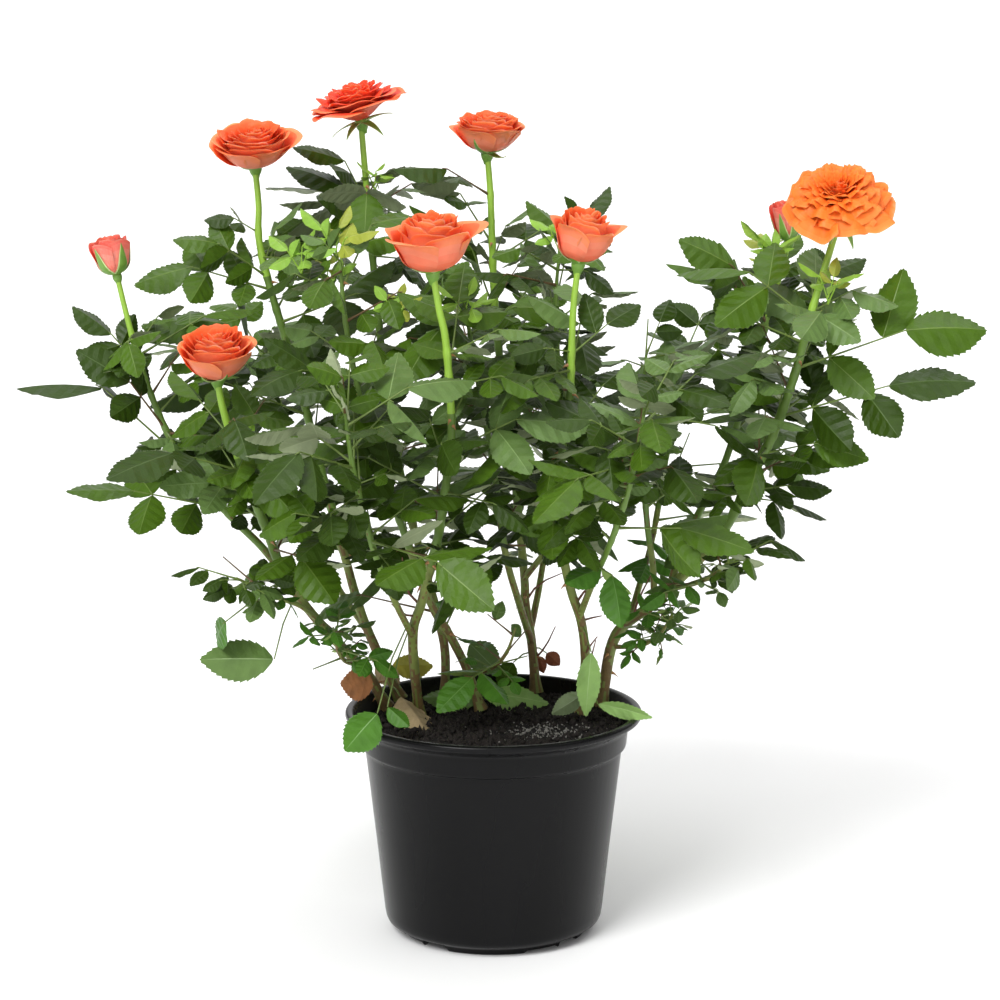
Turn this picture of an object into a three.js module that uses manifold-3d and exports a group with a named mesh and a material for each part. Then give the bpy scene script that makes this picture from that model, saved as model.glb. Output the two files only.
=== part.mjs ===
// A patio rose in a round plastic nursery pot. Several green canes rise from the soil and lean
// outwards. Each bears compound leaves of toothed leaflets, and most end in a long stalk with a
// coral bloom or a bud. Millimetres, +Z up, +X to the right and -Y to the front. The origin is
// the centre of the pot's flat underside.
import * as THREE from 'three';
import { mergeVertices } from 'three/addons/utils/BufferGeometryUtils.js';
import Module from 'manifold-3d';

const wasm = await Module();
wasm.setup();
const { Manifold, Mesh } = wasm;

// ---- Driving dimensions ----
const GAP = 0.3; // between two pieces that meet
const POT = {
  height: 145, rim: 95, lip: 4, neck: 86.6, neckZ: 136, collarFoot: 85.2, collarZ: 122.5,
  wallTop: 82.3, wallFoot: 69.4, wallFootZ: 9, foot: 60, wall: 1.6, floor: 3, sides: 32,
};
const NOTCH = { count: 4, turn: 31, width: 24, height: 2.2, depth: 12 }; // angles in degrees
const DRAIN = { count: 4, turn: 52, width: 13, height: 6, depth: 12 };
const SOIL_TOP = 138;
const SOIL_DIP = 3; // how far the soil falls away to the wall of the pot
const FOOT_Z = SOIL_TOP + GAP;
const FLARE = { gain: 0.55, height: 14 }; // how much a cane thickens towards its foot
const LIMB_SIDES = 6;
const STEM_SIDES = 3; // of a stem inside its mass of leaves
const STALK_SIDES = 5; // of a flower's stalk

// ---- Leaves ----
const GOLDEN_TURN = 137.5; // degrees round the stem from each leaf to the next
const LEAFLET_WIDTH = 0.64; // of its length
const LEAFLET_EDGE = [[0.24, 0.84], [0.56, 0.92]]; // [share of its length, share of its half width]
const LEAFLET_FOLD = 0.16; // fall of its sides below its rib, of their distance from it
const LEAFLET_ROOT = 0.3; // how far a leaflet is sunk past the middle of its stalk
const LEAF_STALK = { root: 1.1, tip: 0.8 }; // radii
const ARCH = 0.13; // rise of a leaf's stalk, of its length
const END_SHARE = { 1: 0.52, 2: 0.43 }; // length of the end leaflet, of a leaf of 1 or 2 pairs
const END_LONGEST = 54;
const SINGLE_PAIR = { chance: 0.55, reach: 0.92 }; // how many leaves have one pair, and how long
const SIDE_LEAFLETS = { 1: [0.7], 2: [0.8, 0.3] }; // places of the pairs along the stalk
const SIDE_LENGTH = [0.85, 0.72]; // of the end leaflet, from the upper pair down
const SIDE_ANGLE = 66; // degrees between a side leaflet and the stalk
const LIGHT = [0, -0.5, 0.75]; // where leaves turn their faces
const LEAF_TRIES = 10;
const LEAF_CLEAR = 0.6; // between a leaf and whatever isn't its own
const MOST_LEAVES = 9;
const SEED = 117;
const RIM_CLEAR = 148; // height of the lowest leaf over the pot's rim

// ---- Shoots ----
// Each shoot is one line from its foot to its tip. leafy gives the two points of the line between
// which it bears leaves: below them it is a bare limb, and above them the stalk of its flower.
// turn is the direction of its first leaf in degrees, and outline lists the leaves that reach the
// edge of the crown as [place along the leafy stretch, pairs of side leaflets, tip, roll]. The roll
// turns the leaf's face and is left to chance where it is missing.
const SHOOTS = [
  {
    name: 'left', kind: 'cane', radius: [3.5, 2.0], leafy: [4, 7], leaves: 4, reach: 123, turn: 200,
    line: [
      [-69, 27, FOOT_Z], [-82, 18, 164], [-101, 0, 190], [-119, -18, 217], [-132, -30, 242],
      [-143, -45, 277], [-154, -55, 311], [-162, -60, 338], [-166, -62, 355], [-168, -63, 370],
    ],
    outline: [[0.5, 1, [-206, -66, 300]]],
    flower: { size: 47, height: 32, open: 0.5, facing: [-0.03, -0.26, 1], sepals: 0.1 },
  },
  {
    name: 'foot_left', kind: 'bough', radius: [1.6, 1.0], leafy: [1, 3], leaves: 3, reach: 60, turn: 200,
    parent: 'left',
    line: [[-86, 14, 170], [-94, -8, 178], [-98, -26, 190], [-100, -42, 208]],
    outline: [],
  },
  {
    name: 'left_back', kind: 'cane', radius: [3.4, 1.9], leafy: [3, 7], leaves: 4, reach: 120, turn: 60,
    line: [
      [-61, 50, FOOT_Z], [-74, 50, 165], [-86, 55, 193], [-97, 64, 229], [-113, 75, 287],
      [-128, 80, 346], [-145, 80, 405], [-152, 80, 437], [-152, 80, 460], [-154, 80, 484],
    ],
    outline: [
      [0.8, 2, [-208, 62, 440]], [0.5, 1, [-224, 48, 406]],
      [0.86, 1, [-126, 84, 464]],
    ],
    flower: { size: 57, height: 30, open: 0.68, facing: [-0.06, -0.3, 1], sepals: 0.25 },
  },
  {
    name: 'far_left', kind: 'bough', radius: [2.6, 1.7], leafy: [2, 6], leaves: 3, reach: 112, turn: 100,
    parent: 'left',
    line: [
      [-128, -26, 234], [-146, -12, 253], [-164, -4, 269], [-183, 2, 289], [-204, 8, 318],
      [-220, 12, 356], [-229, 13, 388], [-237, 14, 423],
    ],
    outline: [
      [0.4, 1, [-297, 0, 373], 0.35], [0.8, 1, [-265, 16, 404]], [0.1, 2, [-268, -24, 289], 0.15],
    ],
    flower: { size: 25, height: 24, open: 0.12, facing: [-0.22, -0.05, 1], sepals: 0.55 },
  },
  {
    name: 'low_left', kind: 'bough', radius: [1.8, 1.1], leafy: [2, 4], leaves: 2, reach: 74, turn: 30,
    parent: 'left',
    line: [[-111, -10, 205], [-121, -30, 219], [-134, -46, 228], [-147, -58, 237], [-158, -66, 245]],
    outline: [
      [0.3, 1, [-182, -50, 188]], [0.7, 1, [-178, -72, 232]], [0.9, 2, [-200, -62, 252]],
    ],
  },
  {
    name: 'front_left', kind: 'bough', radius: [2.2, 1.4], leafy: [2, 5], leaves: 4, reach: 116, turn: 310,
    parent: 'centre_front',
    line: [
      [-51, -20, 197], [-61, -62, 230], [-70, -92, 261], [-77, -115, 294], [-83, -130, 327],
      [-87, -138, 362],
    ],
    outline: [[0.98, 2, [-100, -180, 398]]],
  },
  {
    name: 'back_left', kind: 'bough', radius: [2.2, 1.4], leafy: [2, 5], leaves: 4, reach: 120, turn: 15,
    parent: 'left_back',
    line: [
      [-84, 53, 185], [-103, 95, 202], [-123, 128, 225], [-137, 152, 266], [-149, 168, 311],
      [-158, 172, 352],
    ],
    outline: [[0.95, 2, [-196, 205, 392]]],
  },
  {
    name: 'centre_front', kind: 'cane', radius: [3.3, 2.0], leafy: [2, 7], leaves: 5, reach: 118, turn: 250,
    line: [
      [-48, 8, FOOT_Z], [-51, -18, 196], [-45, -35, 222], [-39, -50, 248], [-33, -65, 275],
      [-28, -80, 311], [-25, -88, 341], [-28, -95, 394], [-32, -96, 415], [-36, -97, 439],
    ],
    outline: [],
    flower: { size: 53, height: 36, open: 0.42, facing: [-0.05, -0.16, 1], sepals: 0.2 },
  },
  {
    name: 'centre_left', kind: 'cane', radius: [3.2, 1.5], leafy: [2, 8], leaves: 5, reach: 116, turn: 170,
    line: [
      [-8, 22, FOOT_Z], [-18, 22, 167], [-28, 16, 189], [-41, 8, 214], [-54, 0, 252],
      [-68, -10, 296], [-83, -15, 348], [-92, -15, 398], [-95, -12, 434],
    ],
    outline: [[1, 1, [-118, -14, 456]], [0.97, 1, [-76, -26, 452]]],
  },
  {
    name: 'foot_middle', kind: 'bough', radius: [1.6, 1.0], leafy: [1, 3], leaves: 3, reach: 60, turn: 250,
    parent: 'centre_left',
    line: [[-16, 22, 162], [-2, 4, 170], [8, -12, 184], [14, -26, 204]],
    outline: [[0.3, 1, [-34, -52, 157]]],
  },
  {
    name: 'centre_back', kind: 'cane', radius: [3.2, 2.0], leafy: [3, 8], leaves: 5, reach: 120, turn: 80,
    line: [
      [-32, 50, FOOT_Z], [-32, 55, 170], [-38, 66, 195], [-45, 76, 219], [-61, 98, 276],
      [-72, 110, 341], [-78, 115, 400], [-82, 116, 449], [-84, 116, 473], [-87, 116, 512],
    ],
    outline: [
      [0.84, 1, [-128, 104, 504]], [0.92, 1, [-58, 100, 486]], [0.8, 1, [-46, 102, 450]],
    ],
    flower: { size: 66, height: 24, open: 1, facing: [-0.24, -0.1, 1], sepals: -0.5 },
  },
  {
    name: 'centre', kind: 'bough', radius: [2.6, 1.5], leafy: [2, 6], leaves: 4, reach: 116, turn: 190,
    parent: 'mid_back',
    line: [
      [25, 70, 172], [16, 36, 208], [8, 10, 243], [2, 0, 288], [-5, -8, 334], [-13, -12, 379],
      [-17, -14, 405],
    ],
    outline: [[1, 1, [-30, -30, 428]]],
  },
  {
    name: 'mid_back', kind: 'cane', radius: [3.3, 2.0], leafy: [3, 6], leaves: 4, reach: 120, turn: 330,
    line: [
      [28, 68, FOOT_Z], [25, 70, 173], [21, 76, 197], [20, 82, 217], [12, 92, 297], [2, 95, 376],
      [-1, 95, 437], [-2, 95, 465], [-4, 95, 492],
    ],
    outline: [[0.72, 1, [-42, 84, 470]]],
    flower: { size: 49, height: 25, open: 0.6, facing: [0.03, -0.12, 1], sepals: 0.3 },
  },
  {
    name: 'top_right', kind: 'bough', radius: [2.2, 1.3], leafy: [1, 5], leaves: 4, reach: 116, turn: 20,
    parent: 'mid_back',
    line: [
      [20, 80, 212], [38, 64, 244], [44, 52, 296], [42, 48, 352], [40, 46, 400], [42, 44, 436],
    ],
    outline: [[0.98, 1, [76, 56, 473]], [0.9, 1, [78, 20, 414]]],
  },
  {
    name: 'back', kind: 'bough', radius: [2.4, 1.4], leafy: [2, 5], leaves: 4, reach: 120, turn: 90,
    parent: 'mid_back',
    line: [
      [24, 71, 178], [30, 105, 199], [35, 134, 224], [40, 160, 264], [43, 178, 310], [43, 184, 357],
    ],
    outline: [[0.97, 2, [20, 222, 404]]],
  },
  {
    name: 'right_front', kind: 'cane', radius: [3.3, 1.9], leafy: [3, 8], leaves: 4, reach: 116, turn: 300,
    line: [
      [57, 14, FOOT_Z], [59, 10, 174], [56, 0, 202], [49, -15, 226], [42, -30, 261],
      [41, -38, 288], [43, -48, 326], [47, -52, 356], [48, -55, 388], [49, -56, 413], [52, -57, 440],
    ],
    outline: [[0.96, 1, [92, -40, 414]]],
    flower: { size: 40, height: 33, open: 0.34, facing: [0.14, -0.14, 1], sepals: 0.45 },
  },
  {
    name: 'front_right', kind: 'bough', radius: [2.2, 1.4], leafy: [2, 5], leaves: 4, reach: 116, turn: 330,
    parent: 'right_front',
    line: [
      [55, -3, 207], [63, -48, 241], [71, -78, 268], [79, -98, 297], [85, -112, 327],
      [90, -118, 358],
    ],
    outline: [[0.97, 2, [96, -172, 384]]],
  },
  {
    name: 'centre_right', kind: 'bough', radius: [2.4, 1.3], leafy: [2, 5], leaves: 4, reach: 116, turn: 40,
    parent: 'right',
    line: [
      [104, 28, 208], [102, 16, 236], [98, 8, 263], [95, 4, 300], [94, 2, 339], [96, 0, 374],
    ],
    outline: [[1, 1, [112, 22, 412]]],
  },
  {
    name: 'back_right', kind: 'bough', radius: [2.3, 1.4], leafy: [2, 5], leaves: 4, reach: 120, turn: 75,
    parent: 'right',
    line: [
      [87, 30, 193], [96, 70, 210], [106, 108, 233], [114, 134, 269], [121, 150, 307],
      [126, 156, 347],
    ],
    outline: [[0.96, 2, [160, 196, 386]]],
  },
  {
    name: 'foot_right', kind: 'bough', radius: [1.6, 1.0], leafy: [1, 3], leaves: 3, reach: 56, turn: 290,
    parent: 'right',
    line: [[77, 31, 178], [94, 18, 182], [106, 6, 192], [114, -6, 208]],
    outline: [],
  },
  {
    name: 'right', kind: 'cane', radius: [3.8, 2.1], leafy: [4, 9], leaves: 5, reach: 120, turn: 330,
    line: [
      [70, 32, FOOT_Z], [79, 31, 185], [104, 28, 208], [136, 20, 243], [151, 14, 265],
      [165, 6, 298], [176, 0, 322], [185, -5, 349], [193, -6, 378], [201, -4, 409], [208, 0, 432],
      [215, 4, 455],
    ],
    outline: [
      [0.72, 2, [310, -20, 398]], [0.5, 2, [300, -30, 362]], [0.3, 1, [236, -24, 316]],
      [0.62, 2, [140, -52, 356]], [0.1, 1, [212, 14, 262]],
    ],
    flower: { size: 70, height: 30, open: 0.95, facing: [0.16, -0.78, 0.72], sepals: -0.3 },
  },
  {
    name: 'right_fork', kind: 'bough', radius: [2.7, 1.7], leafy: [2, 6], leaves: 4, reach: 116, turn: 60,
    parent: 'right',
    line: [
      [113, 27, 215], [121, 34, 240], [137, 48, 271], [150, 58, 294], [162, 65, 331],
      [176, 70, 380], [183, 70, 407], [187, 66, 425], [190, 62, 439],
    ],
    outline: [[0.78, 2, [122, 38, 446], -0.3], [0.9, 2, [244, 96, 420]]],
    flower: { size: 19, height: 26, open: 0.05, facing: [-0.16, -0.1, 1], sepals: 0.6 },
  },
  {
    name: 'low_right', kind: 'bough', radius: [1.9, 1.1], leafy: [1, 3], leaves: 3, reach: 71, turn: 350,
    parent: 'right',
    line: [[112, 26, 217], [126, 2, 226], [138, -18, 236], [148, -30, 248]],
    outline: [],
  },
];

// The crown's edge seen from the front: rows of [x, lowest leaf, highest leaf].
const CROWN = [
  [-305, 360, 378], [-265, 270, 412], [-230, 264, 440], [-200, 226, 448], [-180, 170, 460],
  [-140, 166, 488], [-110, 150, 514], [-60, 141, 505], [0, 141, 500], [60, 141, 486], [82, 141, 480],
  [92, 143, 434], [104, 148, 404], [120, 178, 446], [150, 222, 448], [200, 242, 452], [240, 302, 440],
  [280, 345, 412], [315, 352, 400],
];
const CROWN_SLACK = 5;

// ---- Seeded chance, the same sequence for the same seed ----
function chance(seed) {
  let state = seed >>> 0;
  return () => {
    state = (Math.imul(state, 1664525) + 1013904223) >>> 0;
    return state / 4294967296;
  };
}

// ---- Small vector helpers ----
const UP = new THREE.Vector3(0, 0, 1);
const vec = (p) => new THREE.Vector3(...p);
const step = (from, direction, length) => from.clone().addScaledVector(direction, length);
const radians = THREE.MathUtils.degToRad;

// The part of v square to axis, at unit length.
function squared(v, axis) {
  return v.clone().addScaledVector(axis, -v.dot(axis)).normalize();
}

// The point of a smooth line at place t, counted in its own points.
function pointOn(line, t) {
  const curve = new THREE.CatmullRomCurve3(line.map(vec), false, 'catmullrom', 0.5);
  return curve.getPoint(t / (line.length - 1));
}

// ---- Solids ----
function solidOf(positions, index) {
  const raw = new THREE.BufferGeometry();
  raw.setAttribute('position', new THREE.Float32BufferAttribute(positions, 3));
  raw.setIndex(index);
  const merged = mergeVertices(raw, 1e-4);
  return new Manifold(new Mesh({
    numProp: 3,
    vertProperties: merged.attributes.position.array,
    triVerts: new Uint32Array(merged.index.array),
  }));
}

function solidOfGeometry(geometry) {
  const bare = geometry.index ? geometry.toNonIndexed() : geometry.clone();
  const positions = bare.getAttribute('position').array;
  return solidOf(positions, [...Array(positions.length / 3).keys()]);
}

function geometryOf(solid) {
  const mesh = solid.getMesh();
  const geometry = new THREE.BufferGeometry();
  geometry.setAttribute('position', new THREE.BufferAttribute(mesh.vertProperties, 3));
  geometry.setIndex(new THREE.BufferAttribute(mesh.triVerts, 1));
  const flat = geometry.toNonIndexed();
  flat.computeVertexNormals();
  return flat;
}

// The largest body of a solid, so that no loose scrap of a cut stays.
function largestBody(solid) {
  const bodies = solid.decompose();
  return bodies.reduce((a, b) => (b.volume() > a.volume() ? b : a));
}

// A closed tube through rings of { at, along, radius }. Its first edge runs on the side of first.
function tube(rings, sides, first = new THREE.Vector3(0.8, -0.6, 0)) {
  const positions = [];
  const index = [];
  let side = squared(first, rings[0].along);
  rings.forEach(({ at, along, radius }) => {
    side = squared(side, along);
    const across = along.clone().cross(side);
    for (let k = 0; k < sides; k++) {
      const angle = (k / sides) * 2 * Math.PI;
      const p = step(step(at, side, radius * Math.cos(angle)), across, radius * Math.sin(angle));
      positions.push(p.x, p.y, p.z);
    }
  });
  for (let ring = 0; ring < rings.length - 1; ring++) {
    for (let k = 0; k < sides; k++) {
      const a = ring * sides + k;
      const b = ring * sides + ((k + 1) % sides);
      index.push(a, b, b + sides, a, b + sides, a + sides);
    }
  }
  const last = (rings.length - 1) * sides;
  for (let k = 1; k < sides - 1; k++) {
    index.push(0, k + 1, k);
    index.push(last, last + k, last + k + 1);
  }
  return solidOf(positions, index);
}

// ---- Limbs ----
// The rings of a shoot between places t0 and t1 of its line, swollen by extra on all sides.
function limbRings(shoot, t0, t1, stepsPerSpan, extra = 0) {
  const count = Math.max(1, Math.round((t1 - t0) * stepsPerSpan));
  const rings = [];
  for (let i = 0; i <= count; i++) {
    const t = t0 + ((t1 - t0) * i) / count;
    const at = pointOn(shoot.line, t);
    const along = tangentOn(shoot.line, t);
    const grounded = shoot.kind === 'cane' && t === 0;
    rings.push({ at, along: grounded ? UP.clone() : along, radius: radiusOn(shoot, t, at.z) + extra });
  }
  const first = rings[0];
  const last = rings[count];
  first.at = step(first.at, first.along, -extra);
  last.at = step(last.at, last.along, extra);
  return rings;
}

function tangentOn(line, t) {
  const nudge = 0.01;
  const a = pointOn(line, Math.max(0, t - nudge));
  const b = pointOn(line, Math.min(line.length - 1, t + nudge));
  return b.sub(a).normalize();
}

// A limb tapers evenly from its foot to its tip, and a cane flares at the soil.
function radiusOn(shoot, t, z) {
  const [foot, tip] = shoot.radius;
  const even = foot + ((tip - foot) * t) / (shoot.line.length - 1);
  const low = Math.max(0, 1 - (z - FOOT_Z) / FLARE.height);
  return shoot.kind === 'cane' ? even * (1 + FLARE.gain * low * low) : even;
}

const shootNamed = (name) => SHOOTS.find((shoot) => shoot.name === name);

function bareLimb(shoot) {
  const rings = limbRings(shoot, 0, shoot.leafy[0], 1.5);
  const limb = tube(rings, LIMB_SIDES);
  if (!shoot.parent) return limb;
  const parent = shootNamed(shoot.parent);
  const parentSwollen = tube(limbRings(parent, 0, parent.leafy[0], 1.5, GAP), LIMB_SIDES);
  return largestBody(limb.subtract(parentSwollen));
}

// ---- The leaf rule ----
// A compound leaf from root on its stem to tip, the point of its end leaflet. Its stalk rises
// more steeply than its end leaflet, and bears pairs of side leaflets. roll turns its face.
function compoundLeaf(root, tip, pairs, draws, roll = 1.1 * (draws[0] - 0.5)) {
  const reach = tip.clone().sub(root);
  const length = reach.length();
  const along = reach.clone().normalize();
  const outwards = new THREE.Vector3(tip.x, tip.y, 0).normalize();
  const lit = step(vec(LIGHT), outwards, 0.3).addScaledVector(along.clone().cross(UP), roll);
  const face = squared(lit, along);
  const endLength = Math.min(END_SHARE[pairs] * length, END_LONGEST);
  const arch = ARCH * length * (0.5 + draws[1]);
  const end = step(root.clone().lerp(tip, 1 - endLength / length), face, arch);
  const leaflets = [leaflet(end, tip, face, endLength)];
  const forward = end.clone().sub(root).normalize();
  SIDE_LEAFLETS[pairs].forEach((place, k) => {
    const at = root.clone().lerp(end, place);
    const normal = squared(face, forward);
    const sideways = forward.clone().cross(normal);
    [1, -1].forEach((hand, h) => {
      const size = endLength * SIDE_LENGTH[k] * (0.88 + 0.24 * draws[2 + ((k + h) % 2)]);
      const angle = radians(SIDE_ANGLE + 16 * (draws[4 + h] - 0.5));
      const lift = 0.35 * (draws[6] - 0.62);
      const direction = forward.clone().multiplyScalar(Math.cos(angle))
        .addScaledVector(sideways, hand * Math.sin(angle)).addScaledVector(normal, lift).normalize();
      leaflets.push(leaflet(at, step(at, direction, size), squared(normal, direction), size));
    });
  });
  return { stalk: [root, end], leaflets };
}

function leaflet(base, tip, normal, length) {
  const along = tip.clone().sub(base).normalize();
  const face = squared(normal, along);
  return { base, tip, along, normal: face, side: along.clone().cross(face), length };
}

// ---- Keeping clear ----
// Limbs, stems and the edges of leaves are kept as rods { from, to, radius }. A leaf is skipped
// where a rod would enter one of its leaflets, or one of its own rods another leaflet.
const LEAFLET_MARKS = [[0.3, 0.8], [0.3, -0.8], [0.6, 0.8], [0.6, -0.8], [0.5, 0], [1, 0]];

const along01 = (a, b, t) => a + (b - a) * t;

// Share of the half width at share x of a leaflet's length.
function edgeShare(x) {
  const [[x1, y1], [x2, y2]] = LEAFLET_EDGE;
  if (x < x1) return (y1 * x) / x1;
  if (x < x2) return along01(y1, y2, (x - x1) / (x2 - x1));
  return (y2 * (1 - x)) / (1 - x2);
}

function inLeaflet({ base, along, side, normal }, p) {
  const d = p.clone().sub(base);
  return [d.dot(along), d.dot(side), d.dot(normal)];
}

function enters(rod, blade) {
  const margin = rod.radius + LEAF_CLEAR;
  const middle = rod.from.clone().add(rod.to).multiplyScalar(0.5);
  const far = rod.from.distanceTo(rod.to) / 2 + 0.65 * blade.length + margin;
  if (middle.distanceTo(step(blade.base, blade.along, blade.length / 2)) > far) return false;
  const half = 0.5 * LEAFLET_WIDTH * blade.length;
  const [s0, u0, n0] = inLeaflet(blade, rod.from);
  const [s1, u1, n1] = inLeaflet(blade, rod.to);
  const rise = Math.abs(n1 - n0) < 1e-6 ? 1e-6 : n1 - n0;
  const low = (-LEAFLET_FOLD * half - margin - n0) / rise;
  const high = (margin - n0) / rise;
  const first = Math.max(0, Math.min(low, high));
  const last = Math.min(1, Math.max(low, high));
  if (first > last) return false;
  return [first, (first + last) / 2, last].some((t) => {
    const s = along01(s0, s1, t);
    const x = Math.min(1, Math.max(0, s / blade.length));
    if (s < -margin || s > blade.length + margin) return false;
    return Math.abs(along01(u0, u1, t)) < half * edgeShare(x) + margin;
  });
}

function rodsAlong(points, radius) {
  return points.slice(1).map((to, i) => ({ from: points[i], to, radius }));
}

const onStalk = ({ stalk: [foot, end] }, t) => foot.clone().lerp(end, t);

function leafRods(leaf) {
  const stalk = rodsAlong([0.15, 0.4, 0.7, 1].map((t) => onStalk(leaf, t)), LEAF_STALK.root);
  const edges = leaf.leaflets.flatMap((blade) => {
    const [[, left1, right1], [, left2, right2]] = LEAFLET_EDGE.map((edge) => across(blade, edge));
    const { base, tip } = blade;
    return rodsAlong([base, left1, left2, tip, right2, right1, base, tip], 0);
  });
  return [...stalk, ...edges];
}

function limbRods(shoot, t0, t1, radius) {
  const count = Math.max(1, Math.round((t1 - t0) * 3));
  const points = Array.from({ length: count + 1 }, (_, i) => (
    pointOn(shoot.line, along01(t0, t1, i / count))
  ));
  return rodsAlong(points, radius).map((rod) => ({ ...rod, shoot, leafy: t0 === shoot.leafy[0] }));
}

function distanceTo({ from, to }, p) {
  const span = to.clone().sub(from);
  const t = Math.min(1, Math.max(0, p.clone().sub(from).dot(span) / span.dot(span)));
  return step(from, span, t).distanceTo(p);
}

// What stands before the first leaf: rods of all shoots, no leaflets, and a ball for each flower.
function bareSurroundings() {
  const rods = SHOOTS.flatMap((shoot) => {
    const [from, to] = shoot.leafy;
    const [foot, tip] = shoot.radius;
    const limb = [...limbRods(shoot, 0, from, foot), ...limbRods(shoot, from, to, foot)];
    return shoot.flower ? [...limb, ...limbRods(shoot, to, shoot.line.length - 1, tip + 1)] : limb;
  });
  const balls = SHOOTS.filter((shoot) => shoot.flower).map(({ line, flower }) => ({
    centre: step(vec(line.at(-1)), vec(flower.facing).normalize(), flower.height / 2),
    radius: flower.size / 2 + 2,
  }));
  return { rods, blades: [], balls };
}

// The lowest and highest place for a leaf at x.
function crownAt(x) {
  const i = Math.max(1, CROWN.findIndex((row) => row[0] > x));
  const [x0, low0, high0] = CROWN[i - 1];
  const [x1, low1, high1] = CROWN[i];
  const t = (x - x0) / (x1 - x0);
  return [along01(low0, low1, t), along01(high0, high1, t)];
}

function fits(leaf, shoot, around) {
  const marks = leaf.leaflets.flatMap((blade) => LEAFLET_MARKS.map(([s, u]) => {
    const half = 0.5 * LEAFLET_WIDTH * blade.length;
    return step(step(blade.base, blade.along, s * blade.length), blade.side, u * half);
  }));
  const inCrown = marks.every((p) => {
    const [lowest, highest] = crownAt(p.x);
    const overRim = Math.hypot(p.x, p.y) < POT.rim + 6 ? RIM_CLEAR : 0;
    return p.z > Math.max(lowest - CROWN_SLACK, overRim) && p.z < highest + CROWN_SLACK;
  });
  const offFlowers = marks.every((p) => around.balls.every((ball) => (
    ball.centre.distanceTo(p) > ball.radius
  )));
  if (!inCrown || !offFlowers) return false;
  const stalkClear = [0.2, 0.4, 0.6, 0.8, 1].every((t) => around.rods.every((rod) => (
    (rod.leafy && rod.shoot === shoot)
    || distanceTo(rod, onStalk(leaf, t)) > rod.radius + LEAF_STALK.root + LEAF_CLEAR
  )));
  return stalkClear
    && leaf.leaflets.every((blade) => !around.rods.some((rod) => enters(rod, blade)))
    && !leafRods(leaf).some((rod) => around.blades.some((blade) => enters(rod, blade)));
}

// A place on the leafy stretch, from 0 at its foot to 1 at its tip.
function rootOn(shoot, place) {
  const [from, to] = shoot.leafy;
  return pointOn(shoot.line, along01(from, to, place));
}

// The leaf number i of a shoot, at an even place up its stem and a golden turn on from the last.
function nextLeaf(shoot, i, attempt, draws) {
  const place = (i + 0.6) / shoot.leaves;
  const turn = radians(shoot.turn + i * GOLDEN_TURN + attempt * 50 + 30 * (draws[7] - 0.5));
  const lift = radians(4 + 14 * place + 26 * Math.sin(turn) + 30 * (draws[8] - 0.5));
  const shrink = (1 - 0.05 * attempt) * (1 - 0.2 * place);
  const pairs = draws[2] < SINGLE_PAIR.chance ? 1 : 2;
  const length = shoot.reach * (0.85 + 0.25 * draws[1]) * shrink * (pairs === 1 ? SINGLE_PAIR.reach : 1);
  const direction = new THREE.Vector3(
    Math.cos(turn) * Math.cos(lift), Math.sin(turn) * Math.cos(lift), Math.sin(lift),
  );
  const root = rootOn(shoot, place);
  return compoundLeaf(root, step(root, direction, length), pairs, draws);
}

// The leaves that reach the edge of the crown come first. Then each shoot in turn grows its next
// leaf. A leaf that doesn't fit is turned and shortened, and skipped after its last try.
function growLeaves() {
  const around = bareSurroundings();
  const grown = new Map(SHOOTS.map((shoot) => [shoot.name, []]));
  const draw = chance(SEED);
  const grow = (shoot, make) => {
    for (let attempt = 0; attempt < LEAF_TRIES; attempt++) {
      const leaf = make(attempt, Array.from({ length: 9 }, draw));
      if (fits(leaf, shoot, around)) {
        grown.get(shoot.name).push(leaf);
        around.rods.push(...leafRods(leaf));
        around.blades.push(...leaf.leaflets);
        return;
      }
    }
  };
  SHOOTS.forEach((shoot) => shoot.outline.forEach(([place, pairs, tip, roll]) => {
    grow(shoot, (attempt, draws) => compoundLeaf(rootOn(shoot, place), vec(tip), pairs, draws, roll));
  }));
  for (let i = 0; i < MOST_LEAVES; i++) {
    SHOOTS.filter((shoot) => i < shoot.leaves).forEach((shoot) => {
      grow(shoot, (attempt, draws) => nextLeaf(shoot, i, attempt, draws));
    });
  }
  return grown;
}

// ---- Masses of foliage ----
// A leaflet of eight faces: four fall from its rib above, and four fill its underside.
function leafletSolid(leaf) {
  const root = step(leaf.base, leaf.along, -LEAFLET_ROOT);
  const [[, left1, right1], [, left2, right2]] = LEAFLET_EDGE.map((edge) => across(leaf, edge));
  const positions = [root, left1, left2, leaf.tip, right2, right1].flatMap((p) => p.toArray());
  return solidOf(positions, [
    0, 1, 3, 1, 2, 3, 0, 3, 5, 5, 3, 4, 0, 5, 1, 1, 5, 4, 1, 4, 2, 2, 4, 3,
  ]);
}

// The rib, left edge and right edge of a leaflet at one place along it.
function across({ base, along, side, normal, length }, [place, share]) {
  const half = 0.5 * LEAFLET_WIDTH * length * share;
  const rib = step(base, along, place * length);
  const low = step(rib, normal, -LEAFLET_FOLD * half);
  return [rib, step(low, side, half), step(low, side, -half)];
}

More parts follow.
